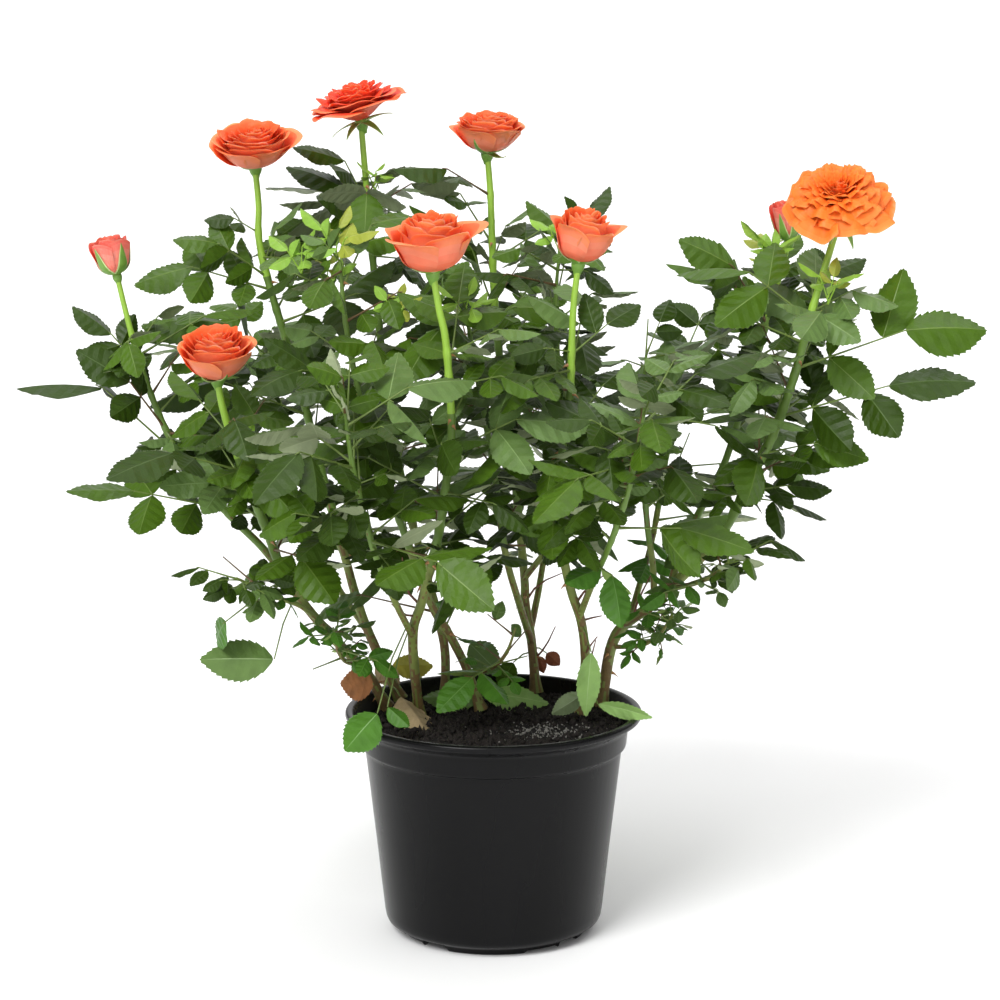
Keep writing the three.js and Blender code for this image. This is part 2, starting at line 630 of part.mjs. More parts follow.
// The three-sided stalk of a leaf, which runs on into its end leaflet.
function stalkSolid({ stalk, leaflets }) {
  const [foot, end] = stalk;
  const [last] = leaflets;
  const rings = [
    [foot, end.clone().sub(foot).normalize(), LEAF_STALK.root],
    [end, last.along, LEAF_STALK.tip],
  ];
  const points = rings.flatMap(([at, along, radius]) => {
    const face = squared(last.normal, along);
    const side = along.clone().cross(face);
    const low = step(at, face, -radius / 2);
    return [step(at, face, radius), step(low, side, 0.87 * radius), step(low, side, -0.87 * radius)];
  });
  points.push(...LEAFLET_EDGE.flatMap((edge) => across(last, edge)), last.tip);
  const count = rings.length + LEAFLET_EDGE.length;
  const index = [0, 2, 1];
  for (let ring = 0; ring < count - 1; ring++) {
    for (let k = 0; k < 3; k++) {
      const a = 3 * ring + k;
      const b = 3 * ring + ((k + 1) % 3);
      index.push(a, b, b + 3, a, b + 3, a + 3);
    }
  }
  const end3 = 3 * count - 3;
  index.push(end3, end3 + 1, end3 + 3, end3 + 1, end3 + 2, end3 + 3, end3 + 2, end3, end3 + 3);
  return solidOf(points.flatMap((p) => p.toArray()), index);
}

function foliageMass(shoot, leaves) {
  const [from, to] = shoot.leafy;
  const rings = limbRings(shoot, from, to, 1);
  rings[0].at = step(rings[0].at, rings[0].along, GAP);
  const stem = tube(rings, STEM_SIDES);
  const solids = leaves.flatMap((leaf) => [
    stalkSolid(leaf), ...leaf.leaflets.slice(1).map(leafletSolid),
  ]);
  return largestBody(Manifold.union([stem, ...solids]));
}

// ---- Flowers ----
const PETALS = 5; // lobes of the outer whorl
const HEAD_SIDES = 10;
const RIM_THICK = 2.5; // of the outer whorl at its edge
const SEPALS = 5;
const HIP = { radius: 4.2, height: 7 };

// The bowl that the petals lie on: its distance from the flower's middle and its height, for a
// share v of the way from the foot to the edge. open is 0 for a bud and 1 for a flat bloom.
function bowl(v, reach, height, open) {
  const swing = (Math.PI / 2) * (1.25 - 0.45 * open);
  return {
    out: (reach * Math.sin(v * swing)) / Math.sin(Math.min(swing, Math.PI / 2)),
    up: (height * (1 - Math.cos(v * swing))) / (1 - Math.cos(swing)),
  };
}

// Rings of a flower's head, from its foot over the lobed edge and down to the raised middle.
function headRings({ size, height, open }) {
  const reach = size / 2;
  const edge = height * (0.92 - 0.34 * open);
  const outer = [0.3, 0.65, 1].map((v) => ({
    ...bowl(v, reach, edge, open), lobes: PETALS, swell: 0.09 * v,
  }));
  const inner = [0.9, 0.6].map((v) => ({
    ...bowl(v, reach - RIM_THICK, edge, open), lobes: PETALS, swell: 0.07 * v,
  }));
  const middle = [
    { out: 0.5 * reach, up: 0.8 * height, lobes: 3, swell: 0.08 },
    { out: 0.3 * reach, up: height, lobes: 3, swell: 0.08 },
  ];
  return [...outer, ...inner, ...middle];
}

function headSolid(flower) {
  const rings = headRings(flower);
  const positions = [0, 0, 0, 0, 0, 0.9 * flower.height];
  rings.forEach(({ out, up, lobes, swell }) => {
    for (let k = 0; k < HEAD_SIDES; k++) {
      const angle = (k / HEAD_SIDES) * 2 * Math.PI;
      const lobe = 1 + swell * Math.cos(lobes * angle);
      positions.push(out * lobe * Math.cos(angle), out * lobe * Math.sin(angle), up * lobe);
    }
  });
  const at = (ring, k) => 2 + ring * HEAD_SIDES + (k % HEAD_SIDES);
  const last = rings.length - 1;
  const index = [];
  for (let k = 0; k < HEAD_SIDES; k++) {
    index.push(0, at(0, k + 1), at(0, k), 1, at(last, k), at(last, k + 1));
    for (let ring = 0; ring < last; ring++) {
      index.push(at(ring, k), at(ring, k + 1), at(ring + 1, k + 1));
      index.push(at(ring, k), at(ring + 1, k + 1), at(ring + 1, k));
    }
  }
  return solidOf(positions, index);
}

// The sepals are a star of five points below the head. lie is 1 where they stand up against the
// petals, 0 where they spread level and below 0 where they hang back.
function sepalSolid({ size, sepals: lie }) {
  const length = 13 + 0.16 * size;
  const lift = lie * radians(75);
  const positions = [0, 0, 1, 0, 0, -4];
  const index = [];
  for (let k = 0; k < 2 * SEPALS; k++) {
    const angle = (k / SEPALS) * Math.PI;
    const out = k % 2 ? 2.8 : length * Math.cos(lift);
    const up = k % 2 ? -1.5 : length * Math.sin(lift) - 1.5;
    positions.push(out * Math.cos(angle), out * Math.sin(angle), up);
    const next = 2 + ((k + 1) % (2 * SEPALS));
    index.push(0, 2 + k, next, 1, next, 2 + k);
  }
  return solidOf(positions, index);
}

function flowerSolid(shoot) {
  const end = shoot.line.length - 1;
  const facing = vec(shoot.flower.facing).normalize();
  const rings = limbRings(shoot, shoot.leafy[1], end, 1);
  rings[0].at = step(rings[0].at, rings[0].along, GAP);
  const last = rings.pop();
  rings.push({ at: step(last.at, facing, -HIP.height), along: facing, radius: last.radius });
  rings.push({ at: step(last.at, facing, -HIP.height * 0.4), along: facing, radius: HIP.radius });
  rings.push({ at: step(last.at, facing, 1.5), along: facing, radius: HIP.radius });
  const turned = new THREE.Quaternion().setFromUnitVectors(UP, facing);
  const placed = new THREE.Matrix4().makeRotationFromQuaternion(turned).setPosition(last.at);
  const head = Manifold.union([headSolid(shoot.flower), sepalSolid(shoot.flower)]);
  return largestBody(tube(rings, STALK_SIDES).add(head.transform(placed.elements)));
}

// ---- The pot and its soil ----
function ringCut({ count, turn, width, height, depth }) {
  const cuts = [];
  for (let k = 0; k < count; k++) {
    const breadth = 2 * POT.wallFoot * Math.tan(radians(width / 2));
    const block = new THREE.BoxGeometry(breadth, depth * 2, height * 2);
    block.translate(0, -(POT.foot + depth * 0.35), 0);
    block.rotateZ(radians(turn + (k * 360) / count));
    cuts.push(solidOfGeometry(block));
  }
  return Manifold.union(cuts);
}

function potSolid() {
  const { height, rim, lip, neck, neckZ, collarFoot, collarZ, wallTop, wallFoot, wallFootZ, foot } = POT;
  const { wall, floor, sides } = POT;
  const outside = [
    [0, 0], [foot, 0], [foot + 1, 4], [wallFoot, wallFootZ], [wallTop, collarZ - 1],
    [collarFoot, collarZ], [neck, neckZ], [rim - 1, height - lip], [rim, height],
  ];
  const inside = [
    [rim - 5, height], [neck - wall, neckZ + 1], [collarFoot - wall, collarZ + 3],
    [wallTop - wall, collarZ - 1], [wallFoot - wall, wallFootZ + 1], [foot - 1, floor], [0, floor],
  ];
  const profile = [...outside, ...inside].map(([r, z]) => new THREE.Vector2(r, z));
  const lathe = new THREE.LatheGeometry(profile, sides).rotateX(Math.PI / 2);
  return largestBody(solidOfGeometry(lathe).subtract(ringCut(NOTCH)).subtract(ringCut(DRAIN)));
}

// The root ball fills the pot. Its top is flat where the canes stand and falls to the wall.
function soilSolid() {
  const { neck, collarFoot, collarZ, wallTop, wallFoot, wallFootZ, foot, wall, floor, sides } = POT;
  const inset = wall + 2 * GAP;
  const profile = [
    [0, floor + GAP], [foot - 2, floor + GAP], [wallFoot - inset, wallFootZ + 2],
    [wallTop - inset, collarZ - 1], [collarFoot - inset, collarZ + 3],
    [neck - inset, SOIL_TOP - SOIL_DIP], [neck - inset - 3, SOIL_TOP], [0, SOIL_TOP],
  ].map(([r, z]) => new THREE.Vector2(r, z));
  return solidOfGeometry(new THREE.LatheGeometry(profile, sides).rotateX(Math.PI / 2));
}

// ---- The whole plant ----
const MATERIALS = {
  pot: new THREE.MeshStandardMaterial({ color: '#1c1c1e', roughness: 0.35, metalness: 0 }),
  soil: new THREE.MeshStandardMaterial({ color: '#241c17', roughness: 1, metalness: 0 }),
  cane: new THREE.MeshStandardMaterial({ color: '#62753a', roughness: 0.6, metalness: 0 }),
  foliage: new THREE.MeshStandardMaterial({ color: '#3f6a35', roughness: 0.5, metalness: 0 }),
  flower: new THREE.MeshStandardMaterial({ color: '#f4694a', roughness: 0.6, metalness: 0 }),
};

const plant = new THREE.Group();
plant.name = 'patio_rose';

function add(name, solid, material) {
  const mesh = new THREE.Mesh(geometryOf(solid), material);
  mesh.name = name;
  plant.add(mesh);
}

add('pot', potSolid(), MATERIALS.pot);
add('soil', soilSolid(), MATERIALS.soil);
const leavesOf = growLeaves();
SHOOTS.forEach((shoot) => {
  add(`${shoot.kind}_${shoot.name}`, bareLimb(shoot), MATERIALS.cane);
  add(`foliage_${shoot.name}`, foliageMass(shoot, leavesOf.get(shoot.name)), MATERIALS.foliage);
  if (shoot.flower) add(`flower_${shoot.name}`, flowerSolid(shoot), MATERIALS.flower);
});

export default plant;
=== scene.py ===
"""The looks of a patio rose in a round plastic nursery pot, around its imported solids.

The bush is grown again by the rule of its solids, and then goes on to finer leaves within the same
reach. Sizes are in millimetres until a mesh is made. +Z is up, +X to the right, -Y to the front.
"""

import math
from collections import namedtuple

import bpy
import numpy as np
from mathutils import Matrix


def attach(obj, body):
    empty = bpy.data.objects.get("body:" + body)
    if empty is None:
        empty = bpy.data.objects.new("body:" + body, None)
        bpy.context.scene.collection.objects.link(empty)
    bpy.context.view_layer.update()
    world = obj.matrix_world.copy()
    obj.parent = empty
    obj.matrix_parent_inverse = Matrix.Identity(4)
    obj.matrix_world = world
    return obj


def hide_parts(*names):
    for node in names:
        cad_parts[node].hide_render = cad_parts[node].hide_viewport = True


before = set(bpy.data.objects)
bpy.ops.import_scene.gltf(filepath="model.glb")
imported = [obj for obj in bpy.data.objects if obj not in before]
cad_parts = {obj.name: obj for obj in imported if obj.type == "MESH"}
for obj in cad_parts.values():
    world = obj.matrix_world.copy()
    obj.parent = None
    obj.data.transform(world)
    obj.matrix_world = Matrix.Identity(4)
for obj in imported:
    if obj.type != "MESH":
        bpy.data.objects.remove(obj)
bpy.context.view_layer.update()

# ---- Driving dimensions, as in the solids ----
MM = 0.001
POT = {
    "height": 145, "rim": 95, "neck": 86.6, "neck_z": 136, "collar_foot": 85.2,
    "collar_z": 122.5, "wall_top": 82.3, "wall_foot": 69.4, "wall_foot_z": 9, "foot": 60,
    "wall": 1.6, "floor": 3,
}
NOTCH = {"count": 4, "turn": 31, "width": 24, "height": 2.2}  # angles in degrees
DRAIN = {"count": 4, "turn": 52, "width": 17, "height": 6}
GAP = 0.3
SOIL_TOP = 138
FOOT_Z = SOIL_TOP + GAP
FLARE = {"gain": 0.55, "height": 14}
GOLDEN_TURN = 137.5
LEAFLET_WIDTH = 0.64
LEAFLET_EDGE = [(0.24, 0.84), (0.56, 0.92)]
LEAFLET_FOLD = 0.16
LEAF_STALK_RADIUS = 1.1
ARCH = 0.13
END_SHARE = {1: 0.52, 2: 0.43}
END_LONGEST = 54
SINGLE_PAIR = {"chance": 0.55, "reach": 0.92}
SIDE_LEAFLETS = {1: [0.7], 2: [0.8, 0.3]}
SIDE_LENGTH = [0.85, 0.72]
SIDE_ANGLE = 66
LEAF_ROLL = 1.1  # radians, spread of a leaf's turn about its stalk
LEAF_OUTWARDS = 0.3  # how much a leaf's face also looks outwards
LEAF_TURN = {"retry": 50, "spread": 30}  # degrees
LEAF_LIFT = {"least": 4, "place": 14, "back": 26, "spread": 30}  # degrees
LEAF_SHRINK = {"retry": 0.05, "place": 0.2}
LIGHT = (0, -0.5, 0.75)
LEAF_TRIES = 10
LEAF_CLEAR = 0.6
MOST_LEAVES = 9
SEED = 117
RIM_CLEAR, RIM_SIDE_CLEAR = 148, 6  # height of the lowest leaves over the pot, and how far past it
CROWN_SLACK = 5
PETALS = 5

# ---- Shoots: lines, leaves and flowers, as in the solids ----
# Each shoot has its radius at foot and tip, the places on its line between which it bears leaves,
# how many leaves, their reach, the first one's turn in degrees, its line, its outline leaves (place,
# pairs of side leaflets, tip and sometimes roll) and its flower.
Shoot = namedtuple(
    "Shoot", "name kind radius leafy leaves reach turn line outline flower", defaults=((), None))
Flower = namedtuple("Flower", "size height facing")
SHOOTS = [
    Shoot(
        "left", "cane", (3.5, 2.0), (4, 7), 4, 123, 200,
        [
            (-69, 27, FOOT_Z), (-82, 18, 164), (-101, 0, 190), (-119, -18, 217), (-132, -30, 242),
            (-143, -45, 277), (-154, -55, 311), (-162, -60, 338), (-166, -62, 355),
            (-168, -63, 370),
        ],
        [(0.5, 1, (-206, -66, 300))],
        Flower(47, 32, (-0.03, -0.26, 1))),
    Shoot(
        "foot_left", "bough", (1.6, 1.0), (1, 3), 3, 60, 200,
        [(-86, 14, 170), (-94, -8, 178), (-98, -26, 190), (-100, -42, 208)]),
    Shoot(
        "left_back", "cane", (3.4, 1.9), (3, 7), 4, 120, 60,
        [
            (-61, 50, FOOT_Z), (-74, 50, 165), (-86, 55, 193), (-97, 64, 229), (-113, 75, 287),
            (-128, 80, 346), (-145, 80, 405), (-152, 80, 437), (-152, 80, 460), (-154, 80, 484),
        ],
        [(0.8, 2, (-208, 62, 440)), (0.5, 1, (-224, 48, 406)), (0.86, 1, (-126, 84, 464))],
        Flower(57, 30, (-0.06, -0.3, 1))),
    Shoot(
        "far_left", "bough", (2.6, 1.7), (2, 6), 3, 112, 100,
        [
            (-128, -26, 234), (-146, -12, 253), (-164, -4, 269), (-183, 2, 289), (-204, 8, 318),
            (-220, 12, 356), (-229, 13, 388), (-237, 14, 423),
        ],
        [
            (0.4, 1, (-297, 0, 373), 0.35), (0.8, 1, (-265, 16, 404)),
            (0.1, 2, (-268, -24, 289), 0.15),
        ],
        Flower(25, 24, (-0.22, -0.05, 1))),
    Shoot(
        "low_left", "bough", (1.8, 1.1), (2, 4), 2, 74, 30,
        [(-111, -10, 205), (-121, -30, 219), (-134, -46, 228), (-147, -58, 237), (-158, -66, 245)],
        [(0.3, 1, (-182, -50, 188)), (0.7, 1, (-178, -72, 232)), (0.9, 2, (-200, -62, 252))]),
    Shoot(
        "front_left", "bough", (2.2, 1.4), (2, 5), 4, 116, 310,
        [
            (-51, -20, 197), (-61, -62, 230), (-70, -92, 261), (-77, -115, 294), (-83, -130, 327),
            (-87, -138, 362),
        ],
        [(0.98, 2, (-100, -180, 398))]),
    Shoot(
        "back_left", "bough", (2.2, 1.4), (2, 5), 4, 120, 15,
        [
            (-84, 53, 185), (-103, 95, 202), (-123, 128, 225), (-137, 152, 266), (-149, 168, 311),
            (-158, 172, 352),
        ],
        [(0.95, 2, (-196, 205, 392))]),
    Shoot(
        "centre_front", "cane", (3.3, 2.0), (2, 7), 5, 118, 250,
        [
            (-48, 8, FOOT_Z), (-51, -18, 196), (-45, -35, 222), (-39, -50, 248), (-33, -65, 275),
            (-28, -80, 311), (-25, -88, 341), (-28, -95, 394), (-32, -96, 415), (-36, -97, 439),
        ],
        [],
        Flower(53, 36, (-0.05, -0.16, 1))),
    Shoot(
        "centre_left", "cane", (3.2, 1.5), (2, 8), 5, 116, 170,
        [
            (-8, 22, FOOT_Z), (-18, 22, 167), (-28, 16, 189), (-41, 8, 214), (-54, 0, 252),
            (-68, -10, 296), (-83, -15, 348), (-92, -15, 398), (-95, -12, 434),
        ],
        [(1, 1, (-118, -14, 456)), (0.97, 1, (-76, -26, 452))]),
    Shoot(
        "foot_middle", "bough", (1.6, 1.0), (1, 3), 3, 60, 250,
        [(-16, 22, 162), (-2, 4, 170), (8, -12, 184), (14, -26, 204)],
        [(0.3, 1, (-34, -52, 157))]),
    Shoot(
        "centre_back", "cane", (3.2, 2.0), (3, 8), 5, 120, 80,
        [
            (-32, 50, FOOT_Z), (-32, 55, 170), (-38, 66, 195), (-45, 76, 219), (-61, 98, 276),
            (-72, 110, 341), (-78, 115, 400), (-82, 116, 449), (-84, 116, 473), (-87, 116, 512),
        ],
        [(0.84, 1, (-128, 104, 504)), (0.92, 1, (-58, 100, 486)), (0.8, 1, (-46, 102, 450))],
        Flower(66, 24, (-0.24, -0.1, 1))),
    Shoot(
        "centre", "bough", (2.6, 1.5), (2, 6), 4, 116, 190,
        [
            (25, 70, 172), (16, 36, 208), (8, 10, 243), (2, 0, 288), (-5, -8, 334), (-13, -12, 379),
            (-17, -14, 405),
        ],
        [(1, 1, (-30, -30, 428))]),
    Shoot(
        "mid_back", "cane", (3.3, 2.0), (3, 6), 4, 120, 330,
        [
            (28, 68, FOOT_Z), (25, 70, 173), (21, 76, 197), (20, 82, 217), (12, 92, 297),
            (2, 95, 376), (-1, 95, 437), (-2, 95, 465), (-4, 95, 492),
        ],
        [(0.72, 1, (-42, 84, 470))],
        Flower(49, 25, (0.03, -0.12, 1))),
    Shoot(
        "top_right", "bough", (2.2, 1.3), (1, 5), 4, 116, 20,
        [(20, 80, 212), (38, 64, 244), (44, 52, 296), (42, 48, 352), (40, 46, 400), (42, 44, 436)],
        [(0.98, 1, (76, 56, 473)), (0.9, 1, (78, 20, 414))]),
    Shoot(
        "back", "bough", (2.4, 1.4), (2, 5), 4, 120, 90,
        [
            (24, 71, 178), (30, 105, 199), (35, 134, 224), (40, 160, 264), (43, 178, 310),
            (43, 184, 357),
        ],
        [(0.97, 2, (20, 222, 404))]),
    Shoot(
        "right_front", "cane", (3.3, 1.9), (3, 8), 4, 116, 300,
        [
            (57, 14, FOOT_Z), (59, 10, 174), (56, 0, 202), (49, -15, 226), (42, -30, 261),
            (41, -38, 288), (43, -48, 326), (47, -52, 356), (48, -55, 388), (49, -56, 413),
            (52, -57, 440),
        ],
        [(0.96, 1, (92, -40, 414))],
        Flower(40, 33, (0.14, -0.14, 1))),
    Shoot(
        "front_right", "bough", (2.2, 1.4), (2, 5), 4, 116, 330,
        [
            (55, -3, 207), (63, -48, 241), (71, -78, 268), (79, -98, 297), (85, -112, 327),
            (90, -118, 358),
        ],
        [(0.97, 2, (96, -172, 384))]),
    Shoot(
        "centre_right", "bough", (2.4, 1.3), (2, 5), 4, 116, 40,
        [(104, 28, 208), (102, 16, 236), (98, 8, 263), (95, 4, 300), (94, 2, 339), (96, 0, 374)],
        [(1, 1, (112, 22, 412))]),
    Shoot(
        "back_right", "bough", (2.3, 1.4), (2, 5), 4, 120, 75,
        [
            (87, 30, 193), (96, 70, 210), (106, 108, 233), (114, 134, 269), (121, 150, 307),
            (126, 156, 347),
        ],
        [(0.96, 2, (160, 196, 386))]),
    Shoot(
        "foot_right", "bough", (1.6, 1.0), (1, 3), 3, 56, 290,
        [(77, 31, 178), (94, 18, 182), (106, 6, 192), (114, -6, 208)]),
    Shoot(
        "right", "cane", (3.8, 2.1), (4, 9), 5, 120, 330,
        [
            (70, 32, FOOT_Z), (79, 31, 185), (104, 28, 208), (136, 20, 243), (151, 14, 265),
            (165, 6, 298), (176, 0, 322), (185, -5, 349), (193, -6, 378), (201, -4, 409),
            (208, 0, 432), (215, 4, 455),
        ],
        [
            (0.72, 2, (310, -20, 398)), (0.5, 2, (300, -30, 362)), (0.3, 1, (236, -24, 316)),
            (0.62, 2, (140, -52, 356)), (0.1, 1, (212, 14, 262)),
        ],
        Flower(70, 30, (0.16, -0.78, 0.72))),
    Shoot(
        "right_fork", "bough", (2.7, 1.7), (2, 6), 4, 116, 60,
        [
            (113, 27, 215), (121, 34, 240), (137, 48, 271), (150, 58, 294), (162, 65, 331),
            (176, 70, 380), (183, 70, 407), (187, 66, 425), (190, 62, 439),
        ],
        [(0.78, 2, (122, 38, 446), -0.3), (0.9, 2, (244, 96, 420))],
        Flower(19, 26, (-0.16, -0.1, 1))),
    Shoot(
        "low_right", "bough", (1.9, 1.1), (1, 3), 3, 71, 350,
        [(112, 26, 217), (126, 2, 226), (138, -18, 236), (148, -30, 248)]),
]

# The crown's edge seen from the front: rows of (x, lowest leaf, highest leaf).
CROWN = np.array([
    (-305, 360, 378), (-265, 270, 412), (-230, 264, 440), (-200, 226, 448), (-180, 170, 460),
    (-140, 166, 488), (-110, 150, 514), (-60, 141, 505), (0, 141, 500), (60, 141, 486),
    (82, 141, 480), (92, 143, 434), (104, 148, 404), (120, 178, 446), (150, 222, 448),
    (200, 242, 452), (240, 302, 440), (280, 345, 412), (315, 352, 400),
], dtype=float)

# ---- What only the looks have ----
FINE_LEAVES = 14  # more leaves on each shoot than its solid has
FINE_REACH = 0.74  # of the reach of the shoot's other leaves
FINE_CLEAR = -1.2  # fine leaves may come this close, and below 0 they may touch
EDGE_CLEAR = -2.5  # and those at the crown's edge this close
FINE_LIGHT = (0, -0.12, 0.9)  # they lie flatter
EYE = (4.2, -2000, 668)  # where the plant is seen from
SKY = [  # gaps in the crown as seen from there: middle (x, z), half width and half height
    (83, 390, 23, 23), (255, 374, 32, 13), (-251, 336, 19, 16), (-183, 249, 39, 16),
    (-171, 197, 16, 16), (-114, 170, 23, 14), (-72, 219, 10, 19), (-12, 203, 19, 13),
    (134, 320, 23, 19), (170, 226, 16, 8), (96, 268, 26, 13), (30, 183, 30, 16),
    (36, 223, 26, 23), (60, 200, 14, 14),
]
EDGE_LEAVES = [  # fine leaves at the crown's edge: shoot, place, pairs of leaflets and tip
    ("left_back", 0.75, 2, (-235, 60, 417)), ("centre_back", 0.7, 1, (-133, 120, 492)),
    ("mid_back", 1.33, 1, (-63, 60, 491)), ("top_right", 0.95, 1, (71, 20, 480)),
    ("left_back", 1.05, 1, (-187, 70, 455)), ("centre_left", 0.75, 2, (-132, 20, 387)),
    ("right_fork", 0.7, 1, (112, 60, 432)), ("right", 0.95, 1, (252, -30, 412)),
    ("right", 0.78, 1, (310, -10, 399)), ("far_left", 0.12, 1, (-269, -10, 283)),
    ("low_left", 0.25, 1, (-182, -40, 182)), ("low_right", 0.9, 1, (203, -10, 253)),
    ("right", 0.35, 2, (237, 0, 310)), ("right_front", 0.8, 1, (88, -40, 426)),
    ("far_left", 0.55, 1, (-265, 5, 375)), ("right", 0.12, 1, (215, 0, 288)),
    ("foot_right", 0.2, 2, (135, 0, 192)), ("foot_right", 0.5, 2, (108, 8, 170)),
    ("foot_right", 0.8, 2, (131, -20, 215)),
]
YOUNG_TIPS = [  # where a tuft of young bright leaves stands: place, how many leaves, their length
    ((-120, 0, 428), 3, 40), ((-98, -6, 438), 3, 46), ((-104, 6, 418), 3, 34),
    ((-17, -62, 408), 3, 34), ((-152, -52, 322), 3, 26), ((42, 50, 436), 3, 36),
    ((176, 60, 424), 4, 44), ((208, -14, 412), 3, 38), ((-78, 108, 470), 3, 26),
    ((-60, -24, 404), 3, 28),
]
SETTLE = {"kept": 0.1, "front": 0.5, "back": 0.85}  # how far a leaflet's face turns up, as a share
BACK = {"depth": 120, "lean": 0.45}  # from this far back, leaves look up and this much backwards
LOW_SIZE = [(200, 0.74), (330, 1)]  # leaflets are smaller low down: height and share
HANG = {"from": 0.3, "lift": 0.85}  # leaflets that hang steeper than this are lifted by this share
BLADE_WIDTH = 0.92  # of the width of the solid leaflets
LEAFLET_ROLL = 0.38  # radians, spread of each leaflet's turn about its rib
LEAFLET_PITCH = (0.04, 0.16)  # radians, mean and spread of how far a leaflet's tip hangs
LEAF_ROWS = 11  # veins and teeth along each side of a leaflet
THORNS_PER_CANE = 11
TWIGS = {"right": 5, "right_front": 4, "left": 3, "centre_front": 2, "mid_back": 2}


# ---- Small helpers ----
def vec(*p):
    return np.array(p[0] if len(p) == 1 else p, dtype=float)


def unit(v):
    return v / np.linalg.norm(v)


UP = vec(0, 0, 1)


def squared(v, axis):
    """The part of v square to axis, at unit length."""
    return unit(v - axis * np.dot(v, axis))


def direction(turn, lift):
    """The unit vector at a turn about +Z and a lift above level, in radians."""
    return vec(math.cos(turn) * math.cos(lift), math.sin(turn) * math.cos(lift), math.sin(lift))


def mix(a, b, t):
    return a + (b - a) * t


def chance(seed):
    """Seeded chance, the same sequence as in the solids."""
    state = seed & 0xFFFFFFFF
    while True:
        state = (state * 1664525 + 1013904223) & 0xFFFFFFFF
        yield state / 4294967296


def point_on(line, t):
    """The point of a smooth line at place t, counted in its own points."""
    points = np.asarray(line, dtype=float)
    last = len(points) - 1
    i = min(int(t), last - 1)
    w = t - i
    p1, p2 = points[i], points[i + 1]
    p0 = points[i - 1] if i > 0 else 2 * p1 - p2
    p3 = points[i + 2] if i + 2 <= last else 2 * p2 - p1
    t0, t1 = 0.5 * (p2 - p0), 0.5 * (p3 - p1)
    return (
        p1 + t0 * w + (-3 * p1 + 3 * p2 - 2 * t0 - t1) * w ** 2
        + (2 * p1 - 2 * p2 + t0 + t1) * w ** 3
    )


def tangent_on(line, t):
    nudge = 0.01
    return unit(point_on(line, min(len(line) - 1, t + nudge)) - point_on(line, max(0, t - nudge)))


def radius_on(shoot, t, z):
    foot, tip = shoot.radius
    even = foot + (tip - foot) * t / (len(shoot.line) - 1)
    low = max(0, 1 - (z - FOOT_Z) / FLARE["height"])
    return even * (1 + FLARE["gain"] * low * low) if shoot.kind == "cane" else even


# ---- The leaf rule, as in the solids ----
Leaflet = namedtuple("Leaflet", "base tip along normal side length")
Leaf = namedtuple("Leaf", "stalk leaflets kept", defaults=(False,))  # kept: stays as it grew


def leaflet(base, tip, normal, length):
    along = unit(tip - base)
    face = squared(normal, along)
    return Leaflet(base, tip, along, face, np.cross(along, face), length)


def compound_leaf(root, tip, pairs, draws, roll=None, light=LIGHT):
    roll = LEAF_ROLL * (draws[0] - 0.5) if roll is None else roll
    length = np.linalg.norm(tip - root)
    along = unit(tip - root)
    outwards = unit(vec(tip[0], tip[1], 0))
    face = squared(vec(light) + LEAF_OUTWARDS * outwards + roll * np.cross(along, UP), along)
    end_length = min(END_SHARE[pairs] * length, END_LONGEST)
    arch = ARCH * length * (0.5 + draws[1])
    end = mix(root, tip, 1 - end_length / length) + arch * face
    leaflets = [leaflet(end, tip, face, end_length)]
    forward = unit(end - root)
    for k, place in enumerate(SIDE_LEAFLETS[pairs]):
        at = mix(root, end, place)
        normal = squared(face, forward)
        sideways = np.cross(forward, normal)
        for h, hand in enumerate((1, -1)):
            size = end_length * SIDE_LENGTH[k] * (0.88 + 0.24 * draws[2 + ((k + h) % 2)])
            angle = math.radians(SIDE_ANGLE + 16 * (draws[4 + h] - 0.5))
            lift = 0.35 * (draws[6] - 0.62)
            way = unit(
                forward * math.cos(angle) + sideways * hand * math.sin(angle) + normal * lift)
            leaflets.append(leaflet(at, at + way * size, squared(normal, way), size))
    return Leaf((root, end), leaflets)


def root_on(shoot, place):
    start, stop = shoot.leafy
    return point_on(shoot.line, mix(start, stop, place))


def next_leaf(shoot, i, attempt, draws, leaves=None, reach=None, turned=0, light=LIGHT):
    leaves = leaves or shoot.leaves
    reach = reach or shoot.reach
    place = (i + 0.6) / leaves
    turn = math.radians(
        shoot.turn + turned + i * GOLDEN_TURN + attempt * LEAF_TURN["retry"]
        + LEAF_TURN["spread"] * (draws[7] - 0.5)
    )
    lift = math.radians(
        LEAF_LIFT["least"] + LEAF_LIFT["place"] * place + LEAF_LIFT["back"] * math.sin(turn)
        + LEAF_LIFT["spread"] * (draws[8] - 0.5)
    )
    shrink = (1 - LEAF_SHRINK["retry"] * attempt) * (1 - LEAF_SHRINK["place"] * place)
    pairs = 1 if draws[2] < SINGLE_PAIR["chance"] else 2
    length = reach * (0.85 + 0.25 * draws[1]) * shrink
    length *= SINGLE_PAIR["reach"] if pairs == 1 else 1
    root = root_on(shoot, place)
    return compound_leaf(root, root + direction(turn, lift) * length, pairs, draws, light=light)


# ---- Keeping clear, as in the solids ----
class Rows:
    """Arrays with one row for each of many shapes."""

    def joined(self, other):
        both = type(self)()
        for name in self.names:
            setattr(both, name, np.concatenate([getattr(self, name), getattr(other, name)]))
        return both


class Rods(Rows):
    """Straight rods of limbs, stems and leaf edges."""

    names = ("start", "stop", "radius", "owner")

    def __init__(self, start=(), stop=(), radius=(), owner=()):
        self.start = np.array(start, dtype=float).reshape(-1, 3)
        self.stop = np.array(stop, dtype=float).reshape(-1, 3)
        self.radius = np.array(radius, dtype=float)
        self.owner = np.array(owner, dtype=int)

    def distance_to(self, p):
        span = self.stop - self.start
        t = np.clip(((p - self.start) * span).sum(1) / (span * span).sum(1), 0, 1)
        return np.linalg.norm(self.start + span * t[:, None] - p, axis=1)


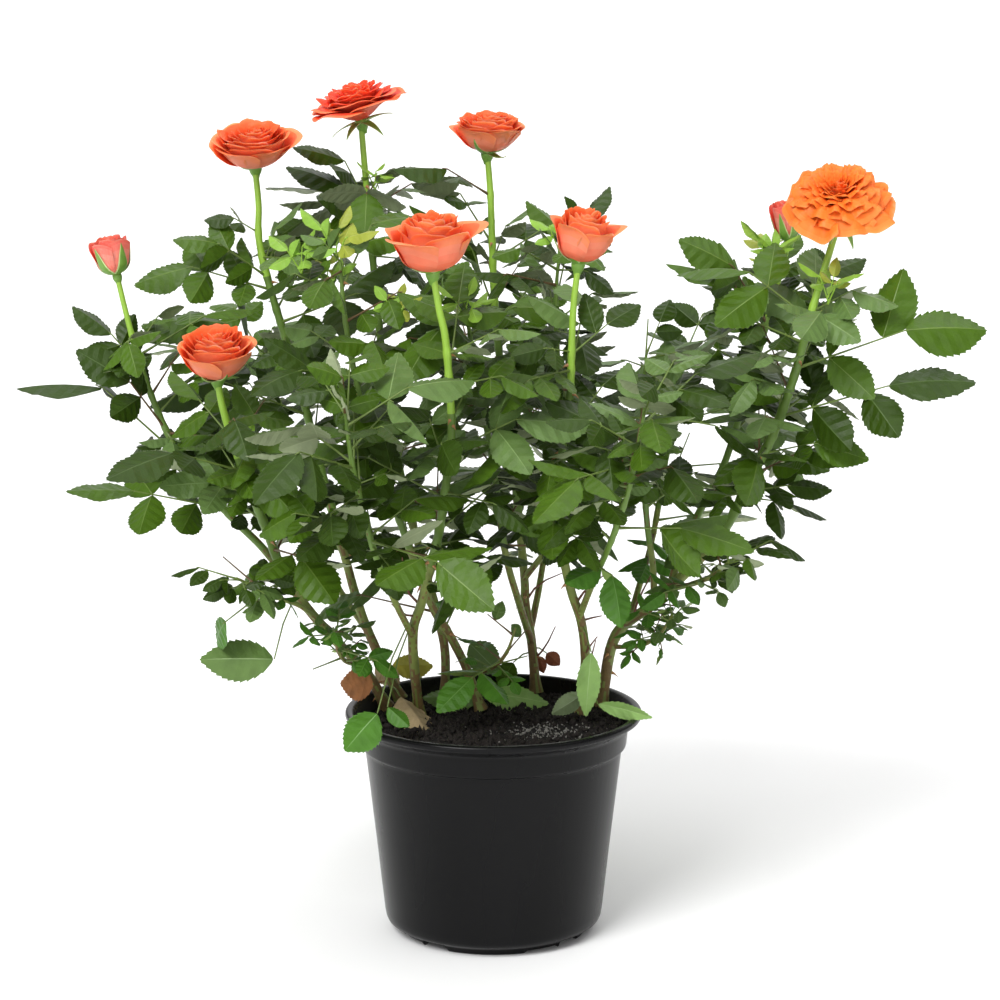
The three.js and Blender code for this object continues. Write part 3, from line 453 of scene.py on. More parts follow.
class Blades(Rows):
    """Leaflets."""

    names = ("base", "along", "side", "normal", "length")

    def __init__(self, leaflets=()):
        for name in self.names[:-1]:
            rows = np.array([getattr(leaf, name) for leaf in leaflets], dtype=float)
            setattr(self, name, rows.reshape(-1, 3))
        self.length = np.array([leaf.length for leaf in leaflets], dtype=float)


def edge_share(x):
    """Share of the half width at share x of a leaflet's length."""
    (x1, y1), (x2, y2) = LEAFLET_EDGE
    return np.interp(x, [0, x1, x2, 1], [0, y1, y2, 0])


def enters(rods, blades, clear):
    """True where any of the rods enters any of the leaflets."""
    if not len(rods.radius) or not len(blades.length):
        return False
    margin = (rods.radius + clear)[:, None]
    half = 0.5 * LEAFLET_WIDTH * blades.length[None]
    length = blades.length[None]
    middle = 0.5 * (rods.start + rods.stop)
    heart = blades.base + blades.along * blades.length[:, None] / 2
    far = np.linalg.norm(rods.stop - rods.start, axis=1)[:, None] / 2 + 0.65 * length + margin
    near = np.linalg.norm(middle[:, None] - heart[None], axis=2) <= far
    i, j = np.nonzero(near)
    if not len(i):
        return False
    margin = np.broadcast_to(margin, near.shape)[i, j]
    half = np.broadcast_to(half, near.shape)[i, j]
    length = np.broadcast_to(length, near.shape)[i, j]

    def places(points):
        d = points[i] - blades.base[j]
        return [(d * axes[j]).sum(1) for axes in (blades.along, blades.side, blades.normal)]

    s0, u0, n0 = places(rods.start)
    s1, u1, n1 = places(rods.stop)
    rise = np.where(np.abs(n1 - n0) < 1e-6, 1e-6, n1 - n0)
    low = (-LEAFLET_FOLD * half - margin - n0) / rise
    high = (margin - n0) / rise
    first = np.maximum(0, np.minimum(low, high))
    last = np.minimum(1, np.maximum(low, high))
    crosses = first <= last
    for t in (first, (first + last) / 2, last):
        s = mix(s0, s1, t)
        inside = (s >= -margin) & (s <= length + margin)
        x = np.clip(s / length, 0, 1)
        if (crosses & inside & (np.abs(mix(u0, u1, t)) < half * edge_share(x) + margin)).any():
            return True
    return False


def across(leaf, place, share):
    half = 0.5 * LEAFLET_WIDTH * leaf.length * share
    rib = leaf.base + leaf.along * place * leaf.length
    low = rib - leaf.normal * LEAFLET_FOLD * half
    return low + leaf.side * half, low - leaf.side * half


def chain(points, radius, owner):
    count = len(points) - 1
    return Rods(points[:-1], points[1:], [radius] * count, [owner] * count)


def leaf_rods(leaf):
    root, end = leaf.stalk
    rods = chain([mix(root, end, t) for t in (0.15, 0.4, 0.7, 1)], LEAF_STALK_RADIUS, -1)
    for blade in leaf.leaflets:
        (left1, right1), (left2, right2) = (across(blade, *edge) for edge in LEAFLET_EDGE)
        base, tip = blade.base, blade.tip
        edges = [base, left1, left2, tip, right2, right1, base, tip]
        rods = rods.joined(chain(edges, 0, -1))
    return rods


def limb_rods(shoot, t0, t1, radius, owner):
    count = max(1, math.floor((t1 - t0) * 3 + 0.5))
    points = [point_on(shoot.line, mix(t0, t1, i / count)) for i in range(count + 1)]
    return chain(points, radius, owner)


LEAFLET_MARKS = [(0.3, 0.8), (0.3, -0.8), (0.6, 0.8), (0.6, -0.8), (0.5, 0), (1, 0)]


class Surroundings:
    """What a new leaf keeps clear of."""

    def __init__(self):
        self.rods = Rods()
        self.blades = Blades()
        balls = []
        for owner, shoot in enumerate(SHOOTS):
            start, stop = shoot.leafy
            foot, tip = shoot.radius
            self.rods = self.rods.joined(limb_rods(shoot, 0, start, foot, -1))
            self.rods = self.rods.joined(limb_rods(shoot, start, stop, foot, owner))
            if shoot.flower:
                end = len(shoot.line) - 1
                self.rods = self.rods.joined(limb_rods(shoot, stop, end, tip + 1, -1))
                flower = shoot.flower
                centre = vec(shoot.line[-1]) + unit(vec(flower.facing)) * flower.height / 2
                balls.append((*centre, flower.size / 2 + 2))
        self.balls = np.array(balls)

    def add(self, leaf):
        self.rods = self.rods.joined(leaf_rods(leaf))
        self.blades = self.blades.joined(Blades(leaf.leaflets))

    def in_crown(self, leaf):
        marks = np.array([
            blade.base + blade.along * s * blade.length
            + blade.side * u * 0.5 * LEAFLET_WIDTH * blade.length
            for blade in leaf.leaflets for s, u in LEAFLET_MARKS
        ])
        lowest = np.interp(marks[:, 0], CROWN[:, 0], CROWN[:, 1]) - CROWN_SLACK
        highest = np.interp(marks[:, 0], CROWN[:, 0], CROWN[:, 2]) + CROWN_SLACK
        over_rim = np.hypot(marks[:, 0], marks[:, 1]) < POT["rim"] + RIM_SIDE_CLEAR
        lowest = np.maximum(lowest, np.where(over_rim, RIM_CLEAR, 0))
        if (marks[:, 2] <= lowest).any() or (marks[:, 2] >= highest).any():
            return False
        gaps = np.linalg.norm(marks[:, None] - self.balls[None, :, :3], axis=2)
        return bool((gaps > self.balls[None, :, 3]).all())

    def fits(self, leaf, owner, clear=LEAF_CLEAR):
        if not self.in_crown(leaf):
            return False
        root, end = leaf.stalk
        others = self.rods.owner != owner
        for t in (0.2, 0.4, 0.6, 0.8, 1):
            gap = self.rods.distance_to(mix(root, end, t))[others]
            if (gap <= self.rods.radius[others] + LEAF_STALK_RADIUS + clear).any():
                return False
        blades = Blades(leaf.leaflets)
        if enters(self.rods, blades, clear):
            return False
        return not enters(leaf_rods(leaf), self.blades, clear)


def in_sky(blade):
    """True where a leaflet would show in one of the crown's gaps, seen from the front."""
    eye = vec(EYE)
    middle = mix(blade.base, blade.tip, 0.55)
    seen = mix(eye, middle, eye[1] / (eye[1] - middle[1]))
    return any(
        ((seen[0] - x) / half_width) ** 2 + ((seen[2] - z) / half_height) ** 2 < 1
        for x, z, half_width, half_height in SKY
    )


def grow_leaves():
    """The leaves of each shoot: first those of its solid, then finer ones between them."""
    around = Surroundings()
    grown = [[] for _ in SHOOTS]
    stream = chance(SEED)

    def grow(owner, make, clear=LEAF_CLEAR, may_grow=lambda leaf: True, kept=False):
        for attempt in range(LEAF_TRIES):
            leaf = make(attempt, [next(stream) for _ in range(9)])
            if may_grow(leaf) and around.fits(leaf, owner, clear):
                grown[owner].append(leaf._replace(kept=kept))
                around.add(leaf)
                return

    for owner, shoot in enumerate(SHOOTS):
        for place, pairs, tip, *roll in shoot.outline:
            root = root_on(shoot, place)
            grow(owner, lambda attempt, draws: compound_leaf(
                root, vec(tip), pairs, draws, *roll), kept=True)
    for i in range(MOST_LEAVES):
        for owner, shoot in enumerate(SHOOTS):
            if i < shoot.leaves:
                grow(owner, lambda attempt, draws: next_leaf(shoot, i, attempt, draws))
    owners = {shoot.name: owner for owner, shoot in enumerate(SHOOTS)}
    for name, place, pairs, tip in EDGE_LEAVES:
        root = root_on(SHOOTS[owners[name]], place)
        grow(owners[name], lambda attempt, draws: compound_leaf(
            root, vec(tip), pairs, draws, light=FINE_LIGHT), EDGE_CLEAR, kept=True)
    for i in range(FINE_LEAVES):
        for owner, shoot in enumerate(SHOOTS):
            grow(owner, lambda attempt, draws: next_leaf(
                shoot, i, attempt, draws, FINE_LEAVES, FINE_REACH * shoot.reach, 90, FINE_LIGHT
            ), FINE_CLEAR, lambda leaf: not any(map(in_sky, leaf.leaflets)))
    return grown


# ---- Materials ----
GLOSS_SPREAD = 0.09  # of the roughness, either way


def linear(code):
    """A colour such as 62753a as linear values."""
    values = [int(code[i:i + 2], 16) / 255 for i in (0, 2, 4)]
    return [v / 12.92 if v <= 0.04045 else ((v + 0.055) / 1.055) ** 2.4 for v in values]


def material(name, code, roughness, mottle, mottle_mm, bump_mm, bump_size=1.2, stretch=(1, 1, 1),
             specular=0.5, subsurface=0.0):
    """A plain colour with mottling, uneven gloss and a fine grain."""
    made = bpy.data.materials.new(name)
    made.use_nodes = True
    nodes = made.node_tree.nodes
    links = made.node_tree.links
    shader = nodes["Principled BSDF"]
    shader.inputs["Specular IOR Level"].default_value = specular
    shader.inputs["Subsurface Weight"].default_value = subsurface
    shader.inputs["Subsurface Radius"].default_value = (1.0, 0.5, 0.3)
    shader.inputs["Subsurface Scale"].default_value = 2.5 * MM
    place = nodes.new("ShaderNodeTexCoord")
    scale = nodes.new("ShaderNodeMapping")
    scale.inputs["Scale"].default_value = stretch
    links.new(place.outputs["Object"], scale.inputs["Vector"])

    def noise(size_mm, detail):
        made_noise = nodes.new("ShaderNodeTexNoise")
        made_noise.inputs["Scale"].default_value = 1 / (size_mm * MM)
        made_noise.inputs["Detail"].default_value = detail
        links.new(scale.outputs["Vector"], made_noise.inputs["Vector"])
        return made_noise

    patches = noise(mottle_mm, 3)
    tint = nodes.new("ShaderNodeMix")
    tint.data_type = "RGBA"
    colour = linear(code)
    tint.inputs[6].default_value = [c * (1 - 2 * mottle) for c in colour] + [1]
    tint.inputs[7].default_value = [min(1, c * (1 + 2 * mottle)) for c in colour] + [1]
    links.new(patches.outputs["Fac"], tint.inputs[0])
    links.new(tint.outputs[2], shader.inputs["Base Color"])
    gloss = nodes.new("ShaderNodeMapRange")
    gloss.inputs["To Min"].default_value = roughness - GLOSS_SPREAD
    gloss.inputs["To Max"].default_value = min(1, roughness + GLOSS_SPREAD)
    links.new(patches.outputs["Fac"], gloss.inputs["Value"])
    links.new(gloss.outputs["Result"], shader.inputs["Roughness"])
    grain = noise(bump_size, 4)
    bump = nodes.new("ShaderNodeBump")
    bump.inputs["Distance"].default_value = bump_mm * MM
    bump.inputs["Strength"].default_value = 0.8
    links.new(grain.outputs["Fac"], bump.inputs["Height"])
    links.new(bump.outputs["Normal"], shader.inputs["Normal"])
    return made


LEAF_TOPS = {  # tints of the upper faces of leaves, with their veins
    "deep": ("2a4004", "3c5418"), "mid": ("3f5c0c", "587224"), "soft": ("567038", "6e884e"),
    "fresh": ("426e1e", "5c863a"), "young": ("7ea63a", "98bc56"), "bronze": ("8c9634", "a2a850"),
    "grey": ("6c7c58", "82906c"), "pale": ("83a65c", "97b674"),
}
LEAF_UNDERS = {
    "deep": ("808c66", "98a47c"), "mid": ("8a9670", "a2ac86"), "soft": ("939e7a", "aab490"),
    "fresh": ("86a050", "a2b670"), "young": ("9abe4c", "b0cc6a"), "bronze": ("a4964e", "b2a45c"),
    "grey": ("8a957a", "9ca68a"), "pale": ("98b078", "aabf8c"),
}
# The outside tints run from a deeper base, partly the petal's own colour and partly painted shade,
# through a paler band that is a painted highlight, to the edge's tint.
PETALS_OF = {  # tints of each palette's petals: inside, then outside from base to edge
    "coral": ("ff602e", "fc5a3e", "ff7456", "ff886a", "ff8450"),
    "scarlet": ("fb4022", "ec4028", "fc5a40", "ff7454", "ff6e42"),
    "orange": ("ff7424", "fa6a24", "ff7834", "ff8038", "ff7e34"),
    "rose": ("ee6450", "ea6858", "f47a6a", "f88c7c", "e8685c"),
}
PETAL_STEPS = 7  # tints from the base of a petal to its edge
PETAL_RIM = 0.9  # share of a petal's length from which its inside has the edge's tint too
MATERIALS = {}


def code_between(codes, share):
    """The colour code at a share of the way along a row of them."""
    places = np.linspace(0, 1, len(codes))
    channels = [[int(code[i:i + 2], 16) for code in codes] for i in (0, 2, 4)]
    return "".join(f"{round(np.interp(share, places, channel)):02x}" for channel in channels)


def make_materials():
    for shade, (top, vein) in LEAF_TOPS.items():
        MATERIALS[f"top_{shade}"] = material(
            f"leaf_top_{shade}", top, 0.45, 0.16, 10, 0.25, 1.6, specular=0.25)
        MATERIALS[f"vein_{shade}"] = material(f"leaf_vein_{shade}", vein, 0.5, 0.06, 6, 0.05)
    for shade, (under, rib) in LEAF_UNDERS.items():
        MATERIALS[f"under_{shade}"] = material(
            f"leaf_under_{shade}", under, 0.62, 0.1, 9, 0.15, 1.1)
        MATERIALS[f"rib_{shade}"] = material(f"leaf_rib_{shade}", rib, 0.6, 0.06, 6, 0.05)
    plain = {  # colour, roughness, mottling, its size and the grain's height in millimetres
        "stalk": ("5f7430", 0.5, 0.14, 7, 0.08), "stalk_red": ("5e4a2a", 0.5, 0.16, 6, 0.08),
        "stem_green": ("5f7d2e", 0.48, 0.16, 9, 0.12),
        "stem_young": ("8db53c", 0.45, 0.1, 12, 0.08),
        "bark_green": ("727e3c", 0.6, 0.22, 7, 0.3), "bark_brown": ("6e5a34", 0.72, 0.3, 5, 0.5),
        "thorn": ("a5784c", 0.5, 0.15, 3, 0.05), "sepal": ("6f9a3c", 0.5, 0.14, 6, 0.1),
        "sepal_edge": ("bcc98a", 0.6, 0.1, 5, 0.05), "dead_brown": ("8a5a34", 0.85, 0.3, 6, 0.3),
        "dead_beige": ("b09a76", 0.85, 0.25, 8, 0.3), "dead_yellow": ("a8a038", 0.7, 0.2, 9, 0.2),
        "dead_red": ("80482c", 0.8, 0.25, 6, 0.2), "twig": ("6a4433", 0.7, 0.25, 5, 0.2),
    }
    for name, values in plain.items():
        MATERIALS[name] = material(name, *values)
    for palette, (inside, *outside) in PETALS_OF.items():
        parts = {"inside": inside}
        for step in range(PETAL_STEPS):
            parts[step] = code_between(outside, step / (PETAL_STEPS - 1))
        for part, code in parts.items():
            MATERIALS[f"{palette}_{part}"] = material(
                f"petal_{palette}_{part}", code, 0.55, 0.08, 7, 0.1, 1.5, specular=0.3,
                subsurface=0.35)
    MATERIALS["pot"] = material(
        "pot_plastic", "0a0a0b", 0.27, 0.2, 40, 0.04, 3, (1, 1, 0.2), specular=0.15)
    MATERIALS["soil"] = material("compost", "100c09", 0.95, 0.35, 4, 1.0, 2.0)
    MATERIALS["crumb"] = material("compost_crumb", "1c1511", 0.85, 0.4, 3, 0.6, 1.0)
    MATERIALS["fleck"] = material("compost_fleck", "8c8984", 0.9, 0.2, 2, 0.4, 0.8)


# ---- Meshes ----
class Heap:
    """Points and faces of many small shapes that become one piece."""

    def __init__(self):
        self.points, self.faces, self.tints, self.count, self.triangles = [], [], [], 0, 0
        self.used = []

    def tint(self, name):
        if name not in self.used:
            self.used.append(name)
        return self.used.index(name)

    def add(self, points, faces, tint):
        """faces is an array of triangles or quads. tint is one name, or one number per face."""
        self.points.append(points)
        self.faces.append(faces + self.count)
        marks = tint if isinstance(tint, np.ndarray) else np.full(len(faces), self.tint(tint))
        self.tints.append(marks)
        self.count += len(points)
        self.triangles += len(faces) * (faces.shape[1] - 2)


def make_piece(name, heap, nodes, smooth=True):
    points = np.concatenate(heap.points) * MM
    loops = np.concatenate([faces.ravel() for faces in heap.faces])
    sizes = np.concatenate([np.full(len(faces), faces.shape[1]) for faces in heap.faces])
    mesh = bpy.data.meshes.new(name)
    mesh.vertices.add(len(points))
    mesh.vertices.foreach_set("co", points.ravel())
    mesh.loops.add(len(loops))
    mesh.loops.foreach_set("vertex_index", loops)
    mesh.polygons.add(len(sizes))
    mesh.polygons.foreach_set("loop_start", np.concatenate([[0], np.cumsum(sizes)[:-1]]))
    for tint in heap.used:
        mesh.materials.append(MATERIALS[tint])
    mesh.polygons.foreach_set("material_index", np.concatenate(heap.tints))
    mesh.update(calc_edges=True)
    if smooth:
        mesh.shade_smooth()
    else:
        mesh.shade_flat()
    piece = bpy.data.objects.new(name, mesh)
    bpy.context.scene.collection.objects.link(piece)
    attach(piece, "root")
    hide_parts(*nodes)
    return piece


def ring_faces(rings, sides):
    """Quads between rings of points, each ring closed."""
    i, k = np.meshgrid(np.arange(rings - 1), np.arange(sides), indexing="ij")
    a = (i * sides + k).ravel()
    b = (i * sides + (k + 1) % sides).ravel()
    return np.stack([a, b, b + sides, a + sides], 1)


def grid_faces(rows, columns):
    i, k = np.meshgrid(np.arange(rows - 1), np.arange(columns - 1), indexing="ij")
    a = (i * columns + k).ravel()
    return np.stack([a, a + 1, a + columns + 1, a + columns], 1)


def tube_points(centres, radii, sides, relief=None):
    """Rings of points round a line. relief is a share of the radius for each point."""
    alongs = np.gradient(centres, axis=0)
    alongs /= np.linalg.norm(alongs, axis=1)[:, None]
    side = squared(vec(0.8, -0.6, 0.05), alongs[0])
    angles = np.arange(sides) / sides * 2 * math.pi
    rows = []
    for i, (centre, along) in enumerate(zip(centres, alongs)):
        side = squared(side, along)
        other = np.cross(along, side)
        radius = radii[i] * (1 + (relief[i] if relief is not None else 0))
        radius = np.broadcast_to(radius, (sides,))[:, None]
        ring = np.cos(angles)[:, None] * side + np.sin(angles)[:, None] * other
        rows.append(centre + radius * ring)
    return np.concatenate(rows)


def add_tube(heap, centres, radii, sides, tint, relief=None):
    """A tube with both ends closed by a point."""
    centres = np.asarray(centres, dtype=float)
    points = tube_points(centres, radii, sides, relief)
    heap.add(points, ring_faces(len(centres), sides), tint)
    cap_tube(heap, points, centres, sides, tint, tint)


def cap_tube(heap, points, centres, sides, foot_tint, end_tint):
    k = np.arange(sides)
    fan = np.stack([np.full(sides, sides), k, (k + 1) % sides], 1)
    heap.add(np.vstack([points[:sides], centres[0]]), fan[:, ::-1], foot_tint)
    heap.add(np.vstack([points[-sides:], centres[-1]]), fan, end_tint)


# ---- Leaflets ----
OUTLINE_S = [0, 0.05, 0.13, 0.25, 0.38, 0.52, 0.66, 0.79, 0.9, 1]
OUTLINE_F = [0.05, 0.42, 0.74, 0.95, 1.0, 0.93, 0.75, 0.5, 0.24, 0]
COLUMNS = [0.027, 0.36, 0.7, 1.0]  # across each half, from the rib to the edge
VEIN_SLANT = 0.09  # how far the side veins run forwards, as a share of the length
TOOTH, TOOTH_PLACE = 0.115, 0.86  # how far teeth stand out, and their place between two veins
BLADE_DEPTH, EDGE_DEPTH = 0.008, 0.0015  # between the upper face and the underside
LEAFLET_SHAPES = 10
LEAFLET_SPANS = {  # least and most of what tells leaflets apart, as shares of their length
    "droop": (0.06, 0.3), "wave": (0.01, 0.03), "phase": (0, 1), "fold": (0.03, 0.16),
    "quilt": (0.006, 0.011),
}
YOUNG_LEAFLET = {"droop": 0.16, "wave": 0.02, "fold": 0.14, "quilt": 0.004}


def leaflet_shape(droop, wave, phase, fold, quilt):
    """One leaflet as (points, triangles, kinds): a top sheet and an underside that close up towards
    its toothed edge. Points are shares of its length, half width and length."""
    rows = np.linspace(0.015, 0.975, LEAF_ROWS + 1)
    width = np.interp(rows, OUTLINE_S, OUTLINE_F)

    def height(s, a, j):
        bulge = quilt * (1 if j % 2 else -1) * 4 * a * (1 - a)
        ripple = wave * math.sin(2 * math.pi * (2.1 * s + phase)) * a * a
        return -fold * a - droop * s * s + bulge + ripple

    def sheet(depth):
        points = []
        for j, s0 in enumerate(rows):
            for hand in (-1, 1):
                for a in (COLUMNS[::-1] if hand < 0 else COLUMNS):
                    s = s0 + VEIN_SLANT * a * width[j]
                    h = height(s, a * width[j], j) - depth * (1 - 0.6 * a ** 4)
                    if a == COLUMNS[0]:
                        h -= depth
                    points.append((s, hand * a * width[j], h))
        return points

    columns = 2 * len(COLUMNS)
    count = (LEAF_ROWS + 1) * columns
    top = grid_faces(LEAF_ROWS + 1, columns)
    is_rib = (np.arange(len(top)) % (columns - 1)) == len(COLUMNS) - 1
    points = sheet(0) + sheet(BLADE_DEPTH)
    halves = np.concatenate([top[:, [0, 1, 2]], top[:, [0, 2, 3]]])
    is_rib = np.tile(is_rib, 2)
    sheets = np.concatenate([halves, halves[:, ::-1] + count])
    sheet_kinds = np.concatenate([np.where(is_rib, 1, 0), np.where(is_rib, 3, 2)])
    triangles, kinds = [], []

    def corner(j, column, layer):
        return layer * count + j * columns + column

    for j in range(LEAF_ROWS):
        for column, hand in ((0, -1), (columns - 1, 1)):
            a, b = vec(points[corner(j, column, 0)]), vec(points[corner(j + 1, column, 0)])
            tooth = mix(a, b, TOOTH_PLACE) + vec(0.006, hand * TOOTH * (1 - 0.4 * rows[j]), 0.0)
            for layer in (0, 1):
                points.append(tuple(tooth - vec(0, 0, EDGE_DEPTH * layer)))
                face = [corner(j, column, layer), len(points) - 1, corner(j + 1, column, layer)]
                triangles.append(face[::hand * (-1 if layer else 1)])
                kinds.append(2 * layer)
    for layer in (0, 1):
        points.append((1.0, 0, height(1, 0, 0) - EDGE_DEPTH * layer))
        for column in range(columns - 1):
            face = [corner(LEAF_ROWS, column, layer), corner(LEAF_ROWS, column + 1, layer),
                    len(points) - 1]
            triangles.append(face[::-1] if layer else face)
            kinds.append(2 * layer)
    return vec(points), np.vstack([sheets, triangles]), np.concatenate([sheet_kinds, kinds])


def add_leaflet(heap, leaf, shape, tints, roll=0.0, pitch=0.0, narrow=1.0):
    """tints are the materials of the upper face, its vein, the underside and its rib. The leaflet
    is rolled about its rib, and its tip is let down by its pitch."""
    local, triangles, kinds = shape
    length = leaf.length
    half = 0.5 * LEAFLET_WIDTH * length * narrow
    side = leaf.side * math.cos(roll) + leaf.normal * math.sin(roll)
    rolled = leaf.normal * math.cos(roll) - leaf.side * math.sin(roll)
    along = leaf.along * math.cos(pitch) - rolled * math.sin(pitch)
    normal = rolled * math.cos(pitch) + leaf.along * math.sin(pitch)
    s, u, h = local.T
    points = (
        leaf.base + np.outer(s * length, along) + np.outer(u * half, side)
        + np.outer(h * length, normal)
    )
    numbers = np.array([heap.tint(tint) for tint in tints])
    heap.add(points, triangles, numbers[kinds])


def leaf_tints(shade):
    return [f"{part}_{shade}" for part in ("top", "vein", "under", "rib")]


# ---- The bush ----
LEAF_PIECE_LIMIT = 170000  # triangles after which the next piece is begun
STALK_RADII = np.array([1.15, 0.72, 0.62, 0.54, 0.46])  # of a leaf's stalk from root to end
STUB = {"places": np.array([[0], [0.05], [0.1]]), "radii": np.array([0.5, 0.45, 0.3])}
LOW_LEAVES = 225  # height below which leaves are fresher
LOW_SHADES = [("fresh", 0.65), ("soft", 1)]  # tints up to a running share of the leaves
CROWN_SHADES = [("deep", 0.42), ("mid", 0.78), ("soft", 1)]
RED_STALKS = 0.25  # share of the leaves
BRONZE_LEAVES = 0.25  # share of the young ones
YOUNG_WIDTH = 0.82
TUFT = {"turn": 40, "lift": 72, "spread": 50, "least": 0.7, "more": 0.4}


class Foliage:
    """Leaf blades in several pieces, and leaf stalks in one."""

    def __init__(self):
        self.heaps = []
        self.nodes = []
        self.stalks = Heap()

    def heap_for(self, node):
        if not self.heaps or self.heaps[-1].triangles > LEAF_PIECE_LIMIT:
            self.heaps.append(Heap())
            self.nodes.append([])
        if node and node not in sum(self.nodes, []):
            self.nodes[-1].append(node)
        return self.heaps[-1]


def settled(blade, kept):
    """The leaflet turned more level about its rib, and lifted where it hangs steeply."""
    steep = max(0, -blade.along[2] - HANG["from"])
    along = unit(blade.along + UP * HANG["lift"] * steep)
    back = np.clip(blade.base[1] / BACK["depth"], 0, 1)
    share = SETTLE["kept"] if kept else mix(SETTLE["front"], SETTLE["back"], back)
    normal = unit(mix(blade.normal, UP + vec(0, BACK["lean"] * back, 0), share))
    length = blade.length * (1 if kept else np.interp(blade.base[2], *zip(*LOW_SIZE)))
    return leaflet(blade.base, blade.base + along * length, normal, length)


def add_leaf(foliage, node, leaf, shape_of, shade, stalk_tint, narrow=BLADE_WIDTH):
    heap = foliage.heap_for(node)
    root, end = leaf.stalk
    centres = mix(root[None], end[None], np.linspace(0, 1, len(STALK_RADII))[:, None])
    thick = min(1.0, np.linalg.norm(end - root) / 40)
    add_tube(foliage.stalks, centres, STALK_RADII * mix(0.55, 1, thick), 6, stalk_tint)
    for number, blade in enumerate(leaf.leaflets):
        blade = settled(blade, leaf.kept)
        if in_sky(blade) and not (leaf.kept and number == 0):
            continue
        stub = mix(blade.base[None], blade.tip[None], STUB["places"])
        add_tube(foliage.stalks, stub, STUB["radii"], 4, stalk_tint)
        shape, roll, pitch = shape_of()
        add_leaflet(heap, blade, shape, leaf_tints(shade), roll, pitch, narrow)


def leaf_shade(leaf, draw):
    """Fresher leaves low down, deeper ones in the crown."""
    shades = LOW_SHADES if leaf.leaflets[0].tip[2] < LOW_LEAVES else CROWN_SHADES
    return next(shade for shade, share in shades if draw < share)


def young_tuft(tip, count, length, rng):
    """Small bright leaves that spread and arch from one tip."""
    leaves = []
    for i in range(count):
        turn = math.radians(i * GOLDEN_TURN + TUFT["turn"])
        lift = math.radians(TUFT["lift"] - TUFT["spread"] * i / count)
        root = vec(tip) - UP * 2 * i
        reach = length * (TUFT["least"] + TUFT["more"] * i / count)
        leaves.append(compound_leaf(
            root, root + direction(turn, lift) * reach, 1 if i < 3 else 2, rng.random(9)))
    return leaves


# Leaves that lie or hang about the foot: stalk end, tip, the way the upper face looks, width as a
# share of the length, and tint.
LITTER = [
    ((-76, -14, 164), (-97, -18, 166), (0, -1, 0.2), 0.95, "dead_brown"),
    ((-60, 4, 152), (-35, -38, 141), (0.3, -0.5, 1), 0.55, "dead_beige"),
    ((-78, 60, 158), (-62, 50, 150), (0.2, -0.9, 0.4), 0.7, "dead_beige"),
    ((-68, 84, 152), (-40, 88, 154), (0, -0.8, 0.6), 0.62, "dead_yellow"),
    ((30, 76, 161), (34, 75, 149), (0.2, -1, 0.1), 0.6, "dead_red"),
    ((35, 76, 163), (44, 74, 155), (0, -1, 0.2), 0.8, "dead_red"),
    ((-72, -62, 158), (-93, -72, 138), (-0.2, -0.9, 0.5), 0.8, "fresh"),
    ((-66, -54, 160), (-52, -64, 151), (0.1, -0.7, 0.8), 0.6, "fresh"),
    ((-8, 26, 146), (-46, 22, 148), (0, -0.7, 0.9), 0.5, "soft"),
    ((-8, 30, 147), (36, 28, 146), (0, -0.8, 0.8), 0.42, "pale"),
    ((-16, 66, 172), (4, 62, 153), (0.2, -1, 0.3), 0.75, "soft"),
    ((13, 62, 160), (3, 60, 143), (0, -1, 0.2), 0.7, "mid"),
    ((62, -16, 186), (58, -30, 148), (-0.1, -1, 0.1), 0.36, "pale"),
    ((58, -12, 158), (38, -20, 147), (0.1, -0.9, 0.3), 0.5, "grey"),
    ((66, -24, 154), (99, -34, 152), (0, -0.8, 0.6), 0.3, "pale"),
    ((-137, -43, 188), (-184, -45, 190), (0.05, -1, 0.45), 0.55, "soft"),
]
LYING = 153  # leaves with a stalk end lower than this lie loose, and the others hang on a limb


def add_litter(foliage, shapes):
    heap = foliage.heap_for(None)
    limbs = np.array([
        point_on(shoot.line, t) for shoot in SHOOTS for t in np.linspace(0, shoot.leafy[0], 40)
    ])
    for number, (base, tip, face, width, tint) in enumerate(LITTER):
        base, tip = vec(base), vec(tip)
        blade = leaflet(base, tip, vec(face), np.linalg.norm(tip - base))
        tints = [tint] * 4 if tint.startswith("dead") else leaf_tints(tint)
        add_leaflet(heap, blade, shapes[number % len(shapes)], tints, narrow=width / LEAFLET_WIDTH)
        nearest = limbs[np.linalg.norm(limbs - base - UP * 6, axis=1).argmin()]
        start = nearest if base[2] > LYING else base - blade.along * 9 + UP * 2
        stub = mix(base, start, np.array([[0], [0.5], [1]]))
        stub[1] += UP * 0.12 * np.linalg.norm(start - base)
        add_tube(foliage.stalks, stub, np.array([0.45, 0.55, 0.5]), 5, "stalk")


def make_foliage(grown, rng):
    shapes = [
        leaflet_shape(**{name: rng.uniform(*span) for name, span in LEAFLET_SPANS.items()})
        for _ in range(LEAFLET_SHAPES)
    ]
    young_shapes = [leaflet_shape(phase=rng.random(), **YOUNG_LEAFLET) for _ in range(4)]
    foliage = Foliage()

    def pose():
        return rng.normal(0, LEAFLET_ROLL), rng.normal(*LEAFLET_PITCH)

    def any_shape():
        return shapes[rng.integers(len(shapes))], *pose()

    def young_shape():
        return young_shapes[rng.integers(len(young_shapes))], *pose()

    for shoot, leaves in zip(SHOOTS, grown):
        node = f"foliage_{shoot.name}"
        for leaf in leaves:
            shade = leaf_shade(leaf, rng.random())
            stalk = "stalk_red" if rng.random() < RED_STALKS else "stalk"
            add_leaf(foliage, node, leaf, any_shape, shade, stalk)
    for tip, count, length in YOUNG_TIPS:
        for leaf in young_tuft(tip, count, length, rng):
            shade = "bronze" if rng.random() < BRONZE_LEAVES else "young"
            add_leaf(foliage, None, leaf, young_shape, shade, "stem_young", YOUNG_WIDTH)
    add_litter(foliage, shapes)
    for number, (heap, nodes) in enumerate(zip(foliage.heaps, foliage.nodes), 1):
        make_piece(f"leaf_blades_{number}", heap, nodes, smooth=False)
    make_piece("leaf_stalks", foliage.stalks, [])


